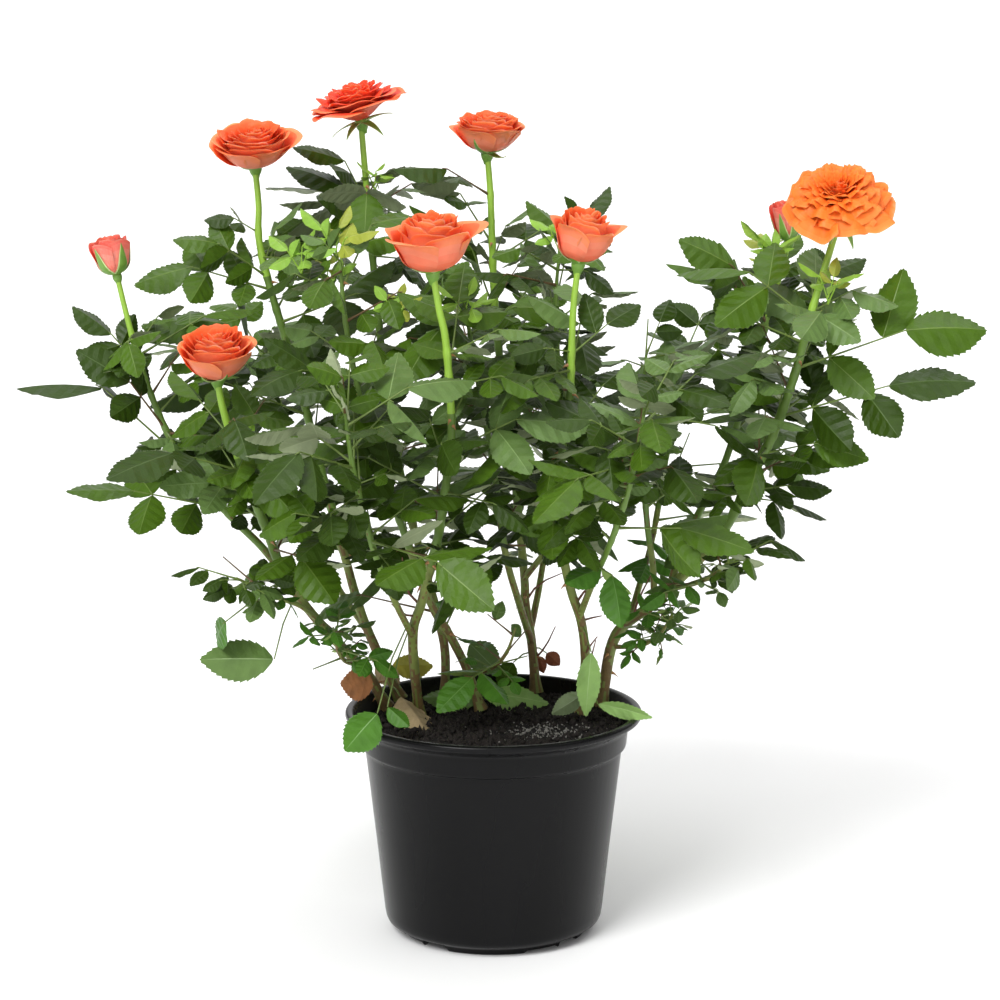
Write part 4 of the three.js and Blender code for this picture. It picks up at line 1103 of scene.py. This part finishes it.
# ---- Canes and boughs ----
LIMB_SIDES = 14
LIMB_STEP = 2.2  # between the rings of a limb
BOUGH_START = 0.02  # place on its line, just inside its cane
SWELLING = {"gain": 0.16, "length": 2.6}  # where a leaf joins
BARK_DEPTH = 0.035  # of the radius
BARK_AGE = ([150, 210, 300], [1, 0.7, 0.25])  # heights, and how much of the relief is left there
BROWN = {"foot": 150, "height": 70, "patches": 0.9, "limit": 0.35}  # where the bark is brown
GREEN_BARK_TOP = 250
THORN = {
    "start": 0.3, "foot": 0.85,  # lowest place on a cane, and depth of its foot in the cane
    "size": (3.0, 5.2), "radii": np.array([1.3, 0.6, 0.08]),
    "line": [(0, 0), (0.45, 0.1), (1, 0.45)],  # how far it stands out and hooks down
}
TWIG = {"length": (14, 50), "kink": (0.04, 0.12), "radii": np.array([1.0, 0.75, 0.6, 0.35])}


def limb_line(shoot, t0, t1):
    """Points at even steps, with their places on the shoot's line."""
    coarse = np.linspace(t0, t1, 200)
    points = np.array([point_on(shoot.line, t) for t in coarse])
    run = np.concatenate([[0], np.cumsum(np.linalg.norm(np.diff(points, axis=0), axis=1))])
    count = max(4, int(run[-1] / LIMB_STEP))
    places = np.interp(np.linspace(0, run[-1], count + 1), run, coarse)
    return np.array([point_on(shoot.line, t) for t in places]), places


def bark_relief(rng, rings, sides, depth):
    """Long shallow furrows and small knobs, as shares of the radius."""
    rough = rng.normal(size=(rings, sides))
    furrows = np.apply_along_axis(lambda c: np.convolve(c, np.ones(7) / 7, "same"), 0, rough)
    return depth * (furrows * 1.6 + 0.35 * rough)


def make_limbs(grown, rng):
    heap = Heap()
    sides = LIMB_SIDES
    for shoot, leaves in zip(SHOOTS, grown):
        start = 0 if shoot.kind == "cane" else BOUGH_START
        stop = len(shoot.line) - 1 if shoot.flower else shoot.leafy[1]
        centres, places = limb_line(shoot, start, stop)
        radii = np.array([radius_on(shoot, t, c[2]) for t, c in zip(places, centres)])
        if not shoot.flower:
            radii *= np.interp(places, [stop - 1, stop], [1, 0.55])
        roots = np.array([leaf.stalk[0] for leaf in leaves])
        gaps = np.linalg.norm(centres[:, None] - roots[None], axis=2).min(1)
        radii *= 1 + SWELLING["gain"] * np.exp(-(gaps / SWELLING["length"]) ** 2)
        age = np.interp(centres[:, 2], *BARK_AGE)
        relief = bark_relief(rng, len(centres), sides, BARK_DEPTH) * age[:, None]
        marks = limb_tints(heap, shoot, centres, places, sides, rng)
        points = tube_points(centres, radii, sides, relief)
        heap.add(points, ring_faces(len(centres), sides), marks)
        cap_tube(heap, points, centres, sides, "bark_brown", "stem_green")
    add_thorns(heap, rng)
    add_twigs(heap, rng)
    nodes = [f"{shoot.kind}_{shoot.name}" for shoot in SHOOTS]
    make_piece("canes_and_boughs", heap, nodes)


def limb_tints(heap, shoot, centres, places, sides, rng):
    """Brown bark in patches near the soil, then green bark, green stem and a young stalk."""
    brown, bark, green, young = (
        heap.tint(name) for name in ("bark_brown", "bark_green", "stem_green", "stem_young")
    )
    patches = bark_relief(rng, len(centres), sides, 1)[:-1]
    heights = centres[:-1, 2][:, None]
    greenness = (heights - BROWN["foot"]) / BROWN["height"] + BROWN["patches"] * patches
    marks = np.where(heights < GREEN_BARK_TOP, bark, green)
    marks = np.where(greenness < BROWN["limit"], brown, marks)
    if shoot.flower:
        upper = places[:-1][:, None] > shoot.leafy[1] - 0.8
        marks = np.where(upper, young, marks)
    return marks.ravel().astype(int)


def add_thorns(heap, rng):
    for shoot in SHOOTS:
        if shoot.kind != "cane":
            continue
        for _ in range(THORNS_PER_CANE):
            t = rng.uniform(THORN["start"], shoot.leafy[1])
            centre = point_on(shoot.line, t)
            along = tangent_on(shoot.line, t)
            out = squared(rng.normal(size=3), along)
            size = rng.uniform(*THORN["size"])
            foot = centre + out * radius_on(shoot, t, centre[2]) * THORN["foot"]
            spine = [
                foot + size * (share * out - drop * along) for share, drop in THORN["line"]
            ]
            add_tube(heap, spine, THORN["radii"], 6, "thorn")


def add_twigs(heap, rng):
    """Thin dead side twigs near the foot of the canes."""
    for name, count in TWIGS.items():
        shoot = next(shoot for shoot in SHOOTS if shoot.name == name)
        for _ in range(count):
            t = rng.uniform(0.5, shoot.leafy[0])
            start = point_on(shoot.line, t)
            turn = rng.uniform(-1.5, 1.5) + (0 if start[0] > 0 else math.pi)
            way = unit(vec(math.cos(turn), math.sin(turn) - 0.4, rng.uniform(0.1, 2.4)))
            length = rng.uniform(*TWIG["length"])
            side = squared(rng.normal(size=3), way)
            kink = rng.uniform(*TWIG["kink"]) * length
            points = [
                start + way * length * s + side * kink * math.sin(4 * s) for s in (0, 0.3, 0.6, 1)
            ]
            add_tube(heap, points, TWIG["radii"], 6, "twig")


# ---- Flowers ----
# Each form of flower. The bends give how steeply its petals rise, in degrees, at shares of their
# length. The tops give how high their edges stand, from the outermost whorl to the middle.
FORMS = {
    "bowl": {
        "whorls": 9, "outer": [(0, 0), (0.3, 18), (0.6, 58), (0.84, 62), (0.96, 26), (1.15, -25)],
        "inner": [(0, 35), (0.4, 75), (0.8, 72), (1.1, 15)],
        "tops": [(0, 0.68), (0.12, 0.8), (0.35, 0.92), (0.7, 1), (1, 0.98)],
        "narrowing": 1.15, "ruffle": (0.015, 0.03), "drop": 0.2, "lap": 1.4,
    },
    "disc": {
        "whorls": 8, "outer": [(0, 10), (0.4, 34), (0.75, 12), (1.1, -16)],
        "inner": [(0, 25), (0.5, 48), (1.1, 0)],
        "tops": [(0, 0.5), (0.2, 0.66), (0.5, 0.86), (0.8, 1), (1, 0.98)],
        "narrowing": 1.15, "ruffle": (0.025, 0.05), "drop": 0.2, "lap": 1.35,
    },
    "rosette": {
        "whorls": 11, "petals": 8, "outer": [(0, 34), (0.35, 36), (0.7, -4), (1.1, -70)],
        "inner": [(0, 44), (0.5, 74), (0.85, 50), (1.1, 0)],
        "tops": [(0, 0.5), (0.25, 0.76), (0.5, 0.9), (0.75, 0.98), (1, 0.96)],
        "narrowing": 0.95, "ruffle": (0.07, 0.07), "drop": 0.12, "lap": 1.35, "point": 0,
    },
    "cup": {
        "whorls": 8, "outer": [(0, 2), (0.25, 40), (0.5, 82), (0.85, 80), (0.97, 45), (1.15, 0)],
        "inner": [(0, 50), (0.35, 86), (0.8, 92), (1.1, 70)],
        "tops": [(0, 0.76), (0.2, 0.88), (0.5, 0.98), (0.75, 1), (1, 0.92)],
        "narrowing": 0.75, "ruffle": (0.015, 0.03), "drop": 0.22, "lap": 1.35,
    },
    "bud": {
        "whorls": 5, "outer": [(0, 2), (0.2, 50), (0.45, 82), (1.1, 82)],
        "inner": [(0, 60), (0.4, 86), (1.1, 88)],
        "tops": [(0, 0.94), (0.5, 1), (1, 0.97)],
        "narrowing": 0.85, "ruffle": (0.01, 0.02), "drop": 0.12, "lap": 1.25,
    },
}
# The flower of each shoot. Squat is its height as a share of the solid's. Flares are outer petals
# that bend out to a point: their place round the flower in degrees, from the right and by way of the
# back, and how far they bend. Some stand a little higher or face another way than their solids.
Bloom = namedtuple("Bloom", "form palette squat flares lift facing", defaults=(0, None))
BLOOMS = {
    "left": Bloom("bowl", "coral", 0.92, [(18, 0.12), (162, 0.03)]),
    "left_back": Bloom("bowl", "coral", 0.84, [(18, 0.13), (234, 0.03)], 2),
    "far_left": Bloom("bud", "rose", 1, [(20, 0.05)]),
    "centre_front": Bloom("cup", "coral", 0.94, [(18, 0.2), (234, 0.14)]),
    "centre_back": Bloom("disc", "scarlet", 1, [(18, 0.05), (200, 0.04)]),
    "mid_back": Bloom("bowl", "coral", 0.96, [(18, 0.04), (162, 0.06)], 2),
    "right_front": Bloom("cup", "coral", 0.95, [(18, 0.2), (162, 0.04)]),
    "right": Bloom("rosette", "orange", 1, [(-35, 0.1)], 5, (-0.1, -0.5, 0.85)),
    "right_fork": Bloom("bud", "rose", 1, []),
}
OUTER_REACH = 0.97  # of the outermost petals, as a share of the flower's radius
HEART = 2.4  # reach of the innermost petals
HEART_LAP = 1.25  # their width, as a share of what would just close their whorl
WHORL_TURN = 0.45  # from one whorl to the next, in petals
HEART_SPREAD = 0.16  # radians, how unevenly the innermost petals stand
UNEVEN = (0.93, 1.03)  # least and most of a petal's reach and rise
OUTER_WHORLS = 2
OUTER_GRID, INNER_GRID = (13, 17), (9, 13)  # rows and columns of a petal
PETAL_THICK = 0.5
PETAL_LAP = 1.2  # one side of a petal stands this much farther out than its middle


def petal_line(bends, reach, rise):
    """Distance from the middle and height along a petal, at even shares of its length."""
    share = np.linspace(0, 1.25, 51)
    slope = np.radians(np.interp(share, *zip(*bends)))
    middle = (slope[1:] + slope[:-1]) / 2
    out = np.concatenate([[0], np.cumsum(np.cos(middle))])
    up = np.concatenate([[0], np.cumsum(np.sin(middle))])
    whole = share <= 1
    return share, out * reach / out[whole].max(), up * rise / up[whole].max()


def petal_grid(line, grid, half_angle, look, rng):
    """The middle surface of one petal on +X, as rows from its foot to its rounded edge."""
    share, out, up = line
    reach = out.max()
    u = np.linspace(-1, 1, grid[1])[None]
    v0 = np.linspace(0.03, 1, grid[0])[:, None]
    length = 1 - look["drop"] * np.abs(u) ** 3.2 + look["point"] * np.exp(-(u / 0.32) ** 2)
    v = v0 * length
    edge = np.clip((v0 - 0.5) / 0.5, 0, 1)
    waves = look["ruffle"] * reach * (
        np.sin(2 * math.pi * (look["waves"] * u + rng.random()))
        + 0.5 * np.sin(2 * math.pi * (1.7 * look["waves"] * u + rng.random()))
    ) * edge ** 1.4
    flare = look["flare"] * reach * edge ** 1.5 * (1 - u ** 4)
    curl = look["curl"] * reach * np.abs(u) ** 3 * edge
    radius = np.interp(v, share, out) + PETAL_LAP * u * v0 + 0.6 * waves + flare + curl
    height = np.interp(v, share, up) + waves - 0.35 * flare * edge - 0.6 * curl
    turn = u * half_angle * (0.62 + 0.38 * np.sin(np.clip(v0 / 0.6, 0, 1) * math.pi / 2))
    return np.stack([radius * np.cos(turn), radius * np.sin(turn), height], 2)


def add_sheet(heap, grid, place, inside, outside, thick):
    """A thin sheet with an inner and an outer face that meet round its edge. The tints are one
    for each face of the grid."""
    rows, columns = grid.shape[:2]
    normal = np.cross(np.gradient(grid, axis=1), np.gradient(grid, axis=0))
    normal /= np.maximum(np.linalg.norm(normal, axis=2, keepdims=True), 1e-9)
    full = np.ones((rows, columns, 1))
    full[-1] = full[:, 0] = full[:, -1] = 0
    offset = normal * full * thick / 2
    faces = grid_faces(rows, columns)
    points = np.concatenate([(grid - offset).reshape(-1, 3), (grid + offset).reshape(-1, 3)])
    both = np.concatenate([faces[:, ::-1], faces + rows * columns])
    heap.add(place(points), both, np.concatenate([inside, outside]))


def add_petal(heap, grid, place, palette):
    """A petal that is deeper at its base and paler towards its edge outside. The deeper base is
    partly its own colour and partly painted shade, and the paler band before the edge is a painted
    highlight.
    """
    rows, columns = grid.shape[:2]
    share = np.repeat(np.arange(rows - 1) / (rows - 1), columns - 1)
    tints = np.array([heap.tint(f"{palette}_{step}") for step in range(PETAL_STEPS)])
    # outside tints by row: painted shade at the base, a painted highlight past the middle, then the
    # edge
    outside = tints[np.round(share * (rows - 1) / (rows - 2) * (PETAL_STEPS - 1)).astype(int)]
    inside = np.where(share >= PETAL_RIM, outside, heap.tint(f"{palette}_inside"))
    add_sheet(heap, grid, place, inside, outside, PETAL_THICK)


def facing_place(shoot):
    """Takes points of a flower that faces +Z to where the shoot carries it."""
    bloom = BLOOMS[shoot.name]
    facing = unit(vec(bloom.facing or shoot.flower.facing))
    axis = np.cross(UP, facing)
    sine, cosine = np.linalg.norm(axis), np.dot(UP, facing)
    x, y, z = axis / max(sine, 1e-9)
    cross = np.array([[0, -z, y], [z, 0, -x], [-y, x, 0]])
    turned = np.eye(3) + sine * cross + (1 - cosine) * cross @ cross
    foot = vec(shoot.line[-1]) + UP * bloom.lift
    return lambda points: points @ turned.T + foot


def spun(points, angle):
    c, s = math.cos(angle), math.sin(angle)
    x, y, z = np.moveaxis(points, -1, 0)
    return np.stack([c * x - s * y, s * x + c * y, z], -1)


def flare_near(bloom, angle, spread):
    """How far the petal at this angle bends out."""
    for degrees, amount in bloom.flares:
        off = (angle - math.radians(degrees) + math.pi) % (2 * math.pi) - math.pi
        if abs(off) < spread:
            return amount
    return 0


def add_head(heap, shoot, rng):
    """Whorls of petals: broad smooth outer ones, and ruffled inner ones that fill the middle."""
    flower = shoot.flower
    bloom = BLOOMS[shoot.name]
    form = FORMS[bloom.form]
    place = facing_place(shoot)
    reach = flower.size / 2
    petals = form.get("petals", PETALS)
    for whorl in range(form["whorls"]):
        q = whorl / (form["whorls"] - 1)
        is_outer = whorl < OUTER_WHORLS
        radius = mix(reach * OUTER_REACH, HEART, q ** form["narrowing"])
        top = flower.height * bloom.squat * np.interp(q, *zip(*form["tops"]))
        half_angle = math.pi / petals * mix(form["lap"], HEART_LAP, q)
        first = math.radians(bloom.flares[0][0]) if bloom.flares else 0
        for k in range(petals):
            angle = first + 2 * math.pi * (k + WHORL_TURN * whorl) / petals
            angle += rng.normal(0, HEART_SPREAD * q)
            flare = flare_near(bloom, angle, math.pi / petals) if whorl == 0 else 0
            look = {
                "drop": form["drop"] * rng.uniform(0.8, 1.2),
                "point": 0.4 * flare + form.get("point", 0.03) * rng.random(),
                "waves": 0.7 if is_outer else 0.85, "flare": flare + rng.normal(0, 0.015),
                "ruffle": form["ruffle"][0 if is_outer else 1] * rng.uniform(0.7, 1.5),
                "curl": 0.06 if is_outer else rng.uniform(-0.05, 0.08),
            }
            bends = [
                (share, mix(outer, np.interp(share, *zip(*form["inner"])), min(1, 1.4 * q)))
                for share, outer in form["outer"]
            ]
            uneven = rng.uniform(*UNEVEN, 2)
            line = petal_line(bends, radius * uneven[0], top * uneven[1])
            grid = petal_grid(line, OUTER_GRID if is_outer else INNER_GRID, half_angle, look, rng)
            add_petal(heap, spun(grid, angle), place, bloom.palette)


# The sepals of each form: how steeply they rise, in degrees, at shares of their length.
SEPAL_BENDS = {
    "bowl": [(0, -4), (0.35, 22), (1, 56)],
    "disc": [(0, 2), (0.5, -10), (1, -34)],
    "rosette": [(0, -20), (0.5, -46), (1, -70)],
    "cup": [(0, 4), (0.3, 34), (1, 66)],
}
SEPAL_ROWS = 13
SEPAL_PLACES = np.array([-1, -0.78, -0.35, 0, 0.35, 0.78, 1])  # shares of half its width
SEPAL_THICK = 0.5
SEPAL_FOOT = (3.2, -1.4)  # distance from the middle and height
# Half widths of a sepal at shares of its length.
SEPAL_WIDTHS = [(0, 0.8), (0.15, 1), (0.4, 0.8), (0.75, 0.36), (1, 0.05)]
BUD_SEPAL_WIDTHS = [(0, 0.9), (0.15, 1), (0.4, 0.84), (0.75, 0.42), (1, 0.05)]


def sepal_size(shoot):
    """Length, and half widths at even shares of it."""
    flower = shoot.flower
    is_bud = BLOOMS[shoot.name].form == "bud"
    length = flower.height * 0.88 if is_bud else 13 + 0.1 * flower.size
    broad = 0.16 * flower.size + 0.8 if is_bud else 3.6
    widths = BUD_SEPAL_WIDTHS if is_bud else SEPAL_WIDTHS
    return length, broad * np.interp(np.linspace(0, 1, SEPAL_ROWS), *zip(*widths))


def closed_sepal(flower, length):
    """Distance from the middle and height of a sepal that lies against a bud."""
    _, out, up = petal_line(FORMS["bud"]["outer"], flower.size / 2 + 0.9, length)
    return out[:3 * SEPAL_ROWS:3], up[:3 * SEPAL_ROWS:3]


def open_sepal(form, length, rng):
    """Distance from the middle and height of a sepal that stands off the petals."""
    even = np.linspace(0, 1, SEPAL_ROWS)
    lean = np.radians(np.interp(even, *zip(*SEPAL_BENDS[form])) + rng.normal(0, 9))[1:]
    step = length / (SEPAL_ROWS - 1)
    return [
        foot + step * np.concatenate([[0], np.cumsum(way(lean))])
        for foot, way in zip(SEPAL_FOOT, (np.cos, np.sin))
    ]


def add_sepals(heap, shoot, rng):
    """Five narrow green blades with pale edges under the petals, or closed round a bud."""
    form = BLOOMS[shoot.name].form
    is_bud = form == "bud"
    full_length, widths = sepal_size(shoot)
    across = SEPAL_PLACES * widths[:, None]
    hollow = 0 if is_bud else 0.1
    place = facing_place(shoot)
    column = np.tile(np.arange(len(SEPAL_PLACES) - 1), SEPAL_ROWS - 1)
    at_edge = (column == 0) | (column == column.max())
    marks = np.where(at_edge, heap.tint("sepal_edge"), heap.tint("sepal"))
    for k in range(PETALS):
        length = full_length * rng.uniform(0.8, 1.12)
        r, z = closed_sepal(shoot.flower, length) if is_bud else open_sepal(form, length, rng)
        turn = across / np.maximum(r, SEPAL_FOOT[0])[:, None]
        height = z[:, None] + hollow * across ** 2
        grid = np.stack([r[:, None] * np.cos(turn), r[:, None] * np.sin(turn), height], 2)
        angle = 2 * math.pi * (k + 0.5) / PETALS - math.pi / 2 + rng.normal(0, 0.12)
        add_sheet(heap, spun(grid, angle), place, marks, marks, SEPAL_THICK)


# The green cup under the petals: radius and height, round the end of the stalk.
HIP = [(2.1, -9), (2.6, -7.2), (3.6, -5.4), (4.3, -3), (4.2, -0.8), (3.4, 1.2), (1.2, 2)]
HIP_SIDES = 16
BUD_HIP = 0.72  # of the size of the others


def turned_rings(profile, sides):
    """Rings of points round +Z, one for each (radius, height) of a profile."""
    angles = np.arange(sides) / sides * 2 * math.pi
    return [
        np.stack([radius * np.cos(angles), radius * np.sin(angles), np.full(sides, float(z))], 1)
        for radius, z in profile
    ]


def add_hip(heap, shoot):
    size = BUD_HIP if BLOOMS[shoot.name].form == "bud" else 1
    rings = turned_rings([(radius * size, z * size) for radius, z in HIP], HIP_SIDES)
    place = facing_place(shoot)
    heap.add(place(np.concatenate(rings)), ring_faces(len(HIP), HIP_SIDES), "sepal")


def make_flowers(rng):
    petals, greens = Heap(), Heap()
    bearing = [shoot for shoot in SHOOTS if shoot.flower]
    for shoot in bearing:
        add_head(petals, shoot, rng)
        add_sepals(greens, shoot, rng)
        add_hip(greens, shoot)
    make_piece("petals", petals, [f"flower_{shoot.name}" for shoot in bearing])
    make_piece("sepals_and_hips", greens, [])


# ---- Pot ----
POT_SIDES = 192
CUT_SLOPE = 0.03  # radians over which a cut's end rises


def make_pot():
    """The pot turned from its profile, with notches and drain cuts under its foot."""
    p = POT
    wall, foot, height, rim = p["wall"], p["foot"], p["height"], p["rim"]
    under_foot = [
        (foot - 3, 1.2), (foot - 2, 0), (foot, 0), (foot + 0.8, 1), (foot + 1.4, 3.4),
    ]
    outside = [
        (p["wall_foot"] - 3, 6), (p["wall_foot"] - 0.8, 7.6), (p["wall_foot"] + 0.2, 10),
        (p["wall_foot"] + 0.9, 14), (mix(p["wall_foot"], p["wall_top"], 0.5), 64),
    ]
    collar = [
        (p["wall_top"] - 0.1, p["collar_z"] - 4), (p["wall_top"] + 0.1, p["collar_z"] - 1.9),
        (p["wall_top"] + 0.8, p["collar_z"] - 1.1), (p["collar_foot"] - 0.9, p["collar_z"] - 0.5),
        (p["collar_foot"] - 0.1, p["collar_z"] + 0.2), (p["collar_foot"] + 0.2, p["collar_z"] + 1.4),
        (p["neck"] - 0.2, p["neck_z"] - 2.4), (p["neck"] + 0.2, p["neck_z"] - 0.8),
        (p["neck"] + 1.6, p["neck_z"] + 1),
    ]
    lip = [
        (rim - 2.4, height - 5.2), (rim - 0.7, height - 4.4), (rim, height - 3.2),
        (rim, height - 1.6), (rim - 0.6, height - 0.5), (rim - 1.7, height),
        (rim - 3.9, height - 0.1), (rim - 5.6, height - 1.4),
    ]
    inside = [
        (p["neck"] + 0.4, p["neck_z"] + 2), (p["neck"] - wall, p["neck_z"]),
        (p["collar_foot"] - wall, p["collar_z"] + 3), (p["wall_top"] - wall, p["collar_z"] - 1),
        (p["wall_foot"] - wall, p["wall_foot_z"] + 2), (foot - 1, p["floor"]), (0.01, p["floor"]),
    ]
    profile = [(0.01, 1.2)] + under_foot + outside + collar + lip + inside
    rings = turned_rings(profile, POT_SIDES)
    angles = np.arange(POT_SIDES) / POT_SIDES * 2 * math.pi
    for ring in rings[1:1 + len(under_foot)]:
        z = ring[0, 2]
        for cut in (NOTCH, DRAIN):
            raised = mix(z, cut["height"] - 0.3, cut_share(angles, cut))
            ring[:, 2] = np.maximum(ring[:, 2], raised)
    heap = Heap()
    heap.add(np.concatenate(rings), ring_faces(len(profile), POT_SIDES), "pot")
    make_piece("nursery_pot", heap, ["pot"])


def cut_share(angles, cut):
    """1 inside the cuts under the foot and 0 outside them, with short slopes between."""
    share = np.zeros_like(angles)
    for k in range(cut["count"]):
        centre = math.radians(cut["turn"] - 90 + k * 360 / cut["count"])
        off = np.abs((angles - centre + math.pi) % (2 * math.pi) - math.pi)
        inside = math.radians(cut["width"] / 2) - off
        share = np.maximum(share, np.clip(inside / CUT_SLOPE, 0, 1))
    return share


# ---- Soil ----
SOIL_RINGS, SOIL_SIDES = 46, 160
CRUMBS = 5600
CRUMBS_REACH = 81
CRUMB_SIZE = (0.5, 2.4)  # least, and how much larger the largest is
FLECK_SIZE = (0.4, 1.1)
CRUMB_LIFT = 0.45  # how high its middle lies, as a share of its size
FLECKS = {"x": 34, "y": -26, "half_width": 24, "half_depth": 18, "share": 1.3, "elsewhere": 0.03}


def soil_height(x, y):
    """Lumpy compost, a little lower at the wall."""
    r = np.hypot(x, y)
    lumps = (
        1.1 * np.sin(0.21 * x + 1.3) * np.sin(0.17 * y - 0.4) + 0.7 * np.sin(0.53 * x - 0.31 * y)
        + 0.5 * np.sin(0.9 * y + 0.6 * x + 2)
    )
    return SOIL_TOP - 1.6 + lumps * 0.8 - 3.2 * np.clip((r - 66) / 17, 0, 1) ** 2


def make_soil(rng):
    heap = Heap()
    radius = np.linspace(0, POT["neck"] - POT["wall"] - 0.7, SOIL_RINGS)[:, None]
    angles = (np.arange(SOIL_SIDES) / SOIL_SIDES * 2 * math.pi)[None]
    x, y = radius * np.cos(angles), radius * np.sin(angles)
    z = soil_height(x, y) + rng.normal(0, 0.55, x.shape)
    z[0] = z[0].mean()
    points = np.stack([x, y, z], 2).reshape(-1, 3)
    heap.add(points, ring_faces(SOIL_RINGS, SOIL_SIDES)[:, ::-1], "soil")
    add_crumbs(heap, rng)
    make_piece("compost", heap, ["soil"])


def add_crumbs(heap, rng):
    """Loose crumbs of compost, with pale flecks gathered at the front right."""
    corners = vec([(1, 0, 0), (0, 1, 0), (-1, 0, 0), (0, -1, 0), (0, 0, 1), (0, 0, -1)])
    faces = np.array([
        (0, 1, 4), (1, 2, 4), (2, 3, 4), (3, 0, 4), (1, 0, 5), (2, 1, 5), (3, 2, 5), (0, 3, 5)])
    for _ in range(CRUMBS):
        r = CRUMBS_REACH * math.sqrt(rng.random())
        turn = rng.uniform(0, 2 * math.pi)
        x, y = r * math.cos(turn), r * math.sin(turn)
        aside = (x - FLECKS["x"]) / FLECKS["half_width"]
        behind = (y - FLECKS["y"]) / FLECKS["half_depth"]
        gathered = math.exp(-(aside ** 2 + behind ** 2))
        is_fleck = rng.random() < FLECKS["elsewhere"] + FLECKS["share"] * gathered
        least, more = CRUMB_SIZE
        size = rng.uniform(*FLECK_SIZE) if is_fleck else least + more * rng.random() ** 2
        shape = corners * rng.uniform(0.5, 1.4, (6, 1)) * size * rng.uniform(0.5, 1.3, 3)
        shape = spun(shape, rng.uniform(0, 6))
        at = vec(x, y, float(soil_height(x, y)) + CRUMB_LIFT * size)
        heap.add(shape + at, faces, "fleck" if is_fleck else "crumb")


# ---- Stage, light and camera: sizes in metres ----
FLOOR_RADIUS, FLOOR_SIDES = 40, 48
WORLD_LIGHT = 0.36
SUNS = {  # where each lies from the plant, strength and spread in degrees
    "key": ((-0.9, -1.5, 1.9), 2.6, 28), "top": ((0.4, -0.2, 3), 1.5, 70),
    "front": ((0.1, -3, 0.9), 0.6, 60), "back": ((0.2, 1.8, 1.6), 0.7, 60),
}
SUN_AIM = (0, 0, 0.3)
STRIP_PLACE, STRIP_AIM = (0.85, -1.35, 0.2), (0, 0, 0.05)
STRIP = {"shape": "RECTANGLE", "size": 0.07, "size_y": 0.5}
STRIP_POWER = 1.1
CAMERA = {"sensor_width": 36, "lens": 115.8, "clip_end": 100}
CAMERA_PITCH = 0.1911  # radians below level


def make_stage():
    mesh = bpy.data.meshes.new("studio_floor")
    ring = turned_rings([(FLOOR_RADIUS, 0)], FLOOR_SIDES)[0]
    mesh.from_pydata(ring.tolist(), [], [list(range(FLOOR_SIDES))])
    floor = bpy.data.objects.new("studio_floor", mesh)
    mesh.materials.append(material("studio_paper", "f6f6f6", 0.9, 0.004, 300, 0.01, 5))
    bpy.context.scene.collection.objects.link(floor)


def add_lamp(name, kind, place, aim, power, **sizes):
    data = bpy.data.lights.new(name, kind)
    data.energy = power
    for key, value in sizes.items():
        setattr(data, key, value)
    lamp = bpy.data.objects.new(name, data)
    lamp.location = place
    way = unit(vec(aim) - vec(place))
    lamp.rotation_euler = (math.acos(-way[2]), 0, math.atan2(way[1], way[0]) - math.pi / 2)
    bpy.context.scene.collection.objects.link(lamp)


def make_light():
    """Bright even light from above and in front, and a tall softbox at each side of the pot."""
    world = bpy.data.worlds.new("studio")
    world.use_nodes = True
    background = world.node_tree.nodes["Background"]
    background.inputs["Color"].default_value = (1, 1, 1, 1)
    background.inputs["Strength"].default_value = WORLD_LIGHT
    bpy.context.scene.world = world
    for name, (place, power, spread) in SUNS.items():
        add_lamp(name, "SUN", place, SUN_AIM, power, angle=math.radians(spread))
    x, y, z = STRIP_PLACE
    for name, side in (("strip_left", -1), ("strip_right", 1)):
        add_lamp(name, "AREA", (side * x, y, z), STRIP_AIM, STRIP_POWER, **STRIP)
    bpy.context.scene.view_settings.view_transform = "Standard"


def make_camera():
    data = bpy.data.cameras.new("camera")
    for key, value in CAMERA.items():
        setattr(data, key, value)
    camera = bpy.data.objects.new("camera", data)
    camera.location = vec(EYE) * MM
    camera.rotation_euler = (math.pi / 2 - CAMERA_PITCH, 0, 0)
    bpy.context.scene.collection.objects.link(camera)
    bpy.context.scene.camera = camera


def main():
    rng = np.random.default_rng(11)
    make_materials()
    grown = grow_leaves()
    make_foliage(grown, rng)
    make_limbs(grown, rng)
    make_flowers(rng)
    make_pot()
    make_soil(rng)
    make_stage()
    make_light()
    make_camera()


main()
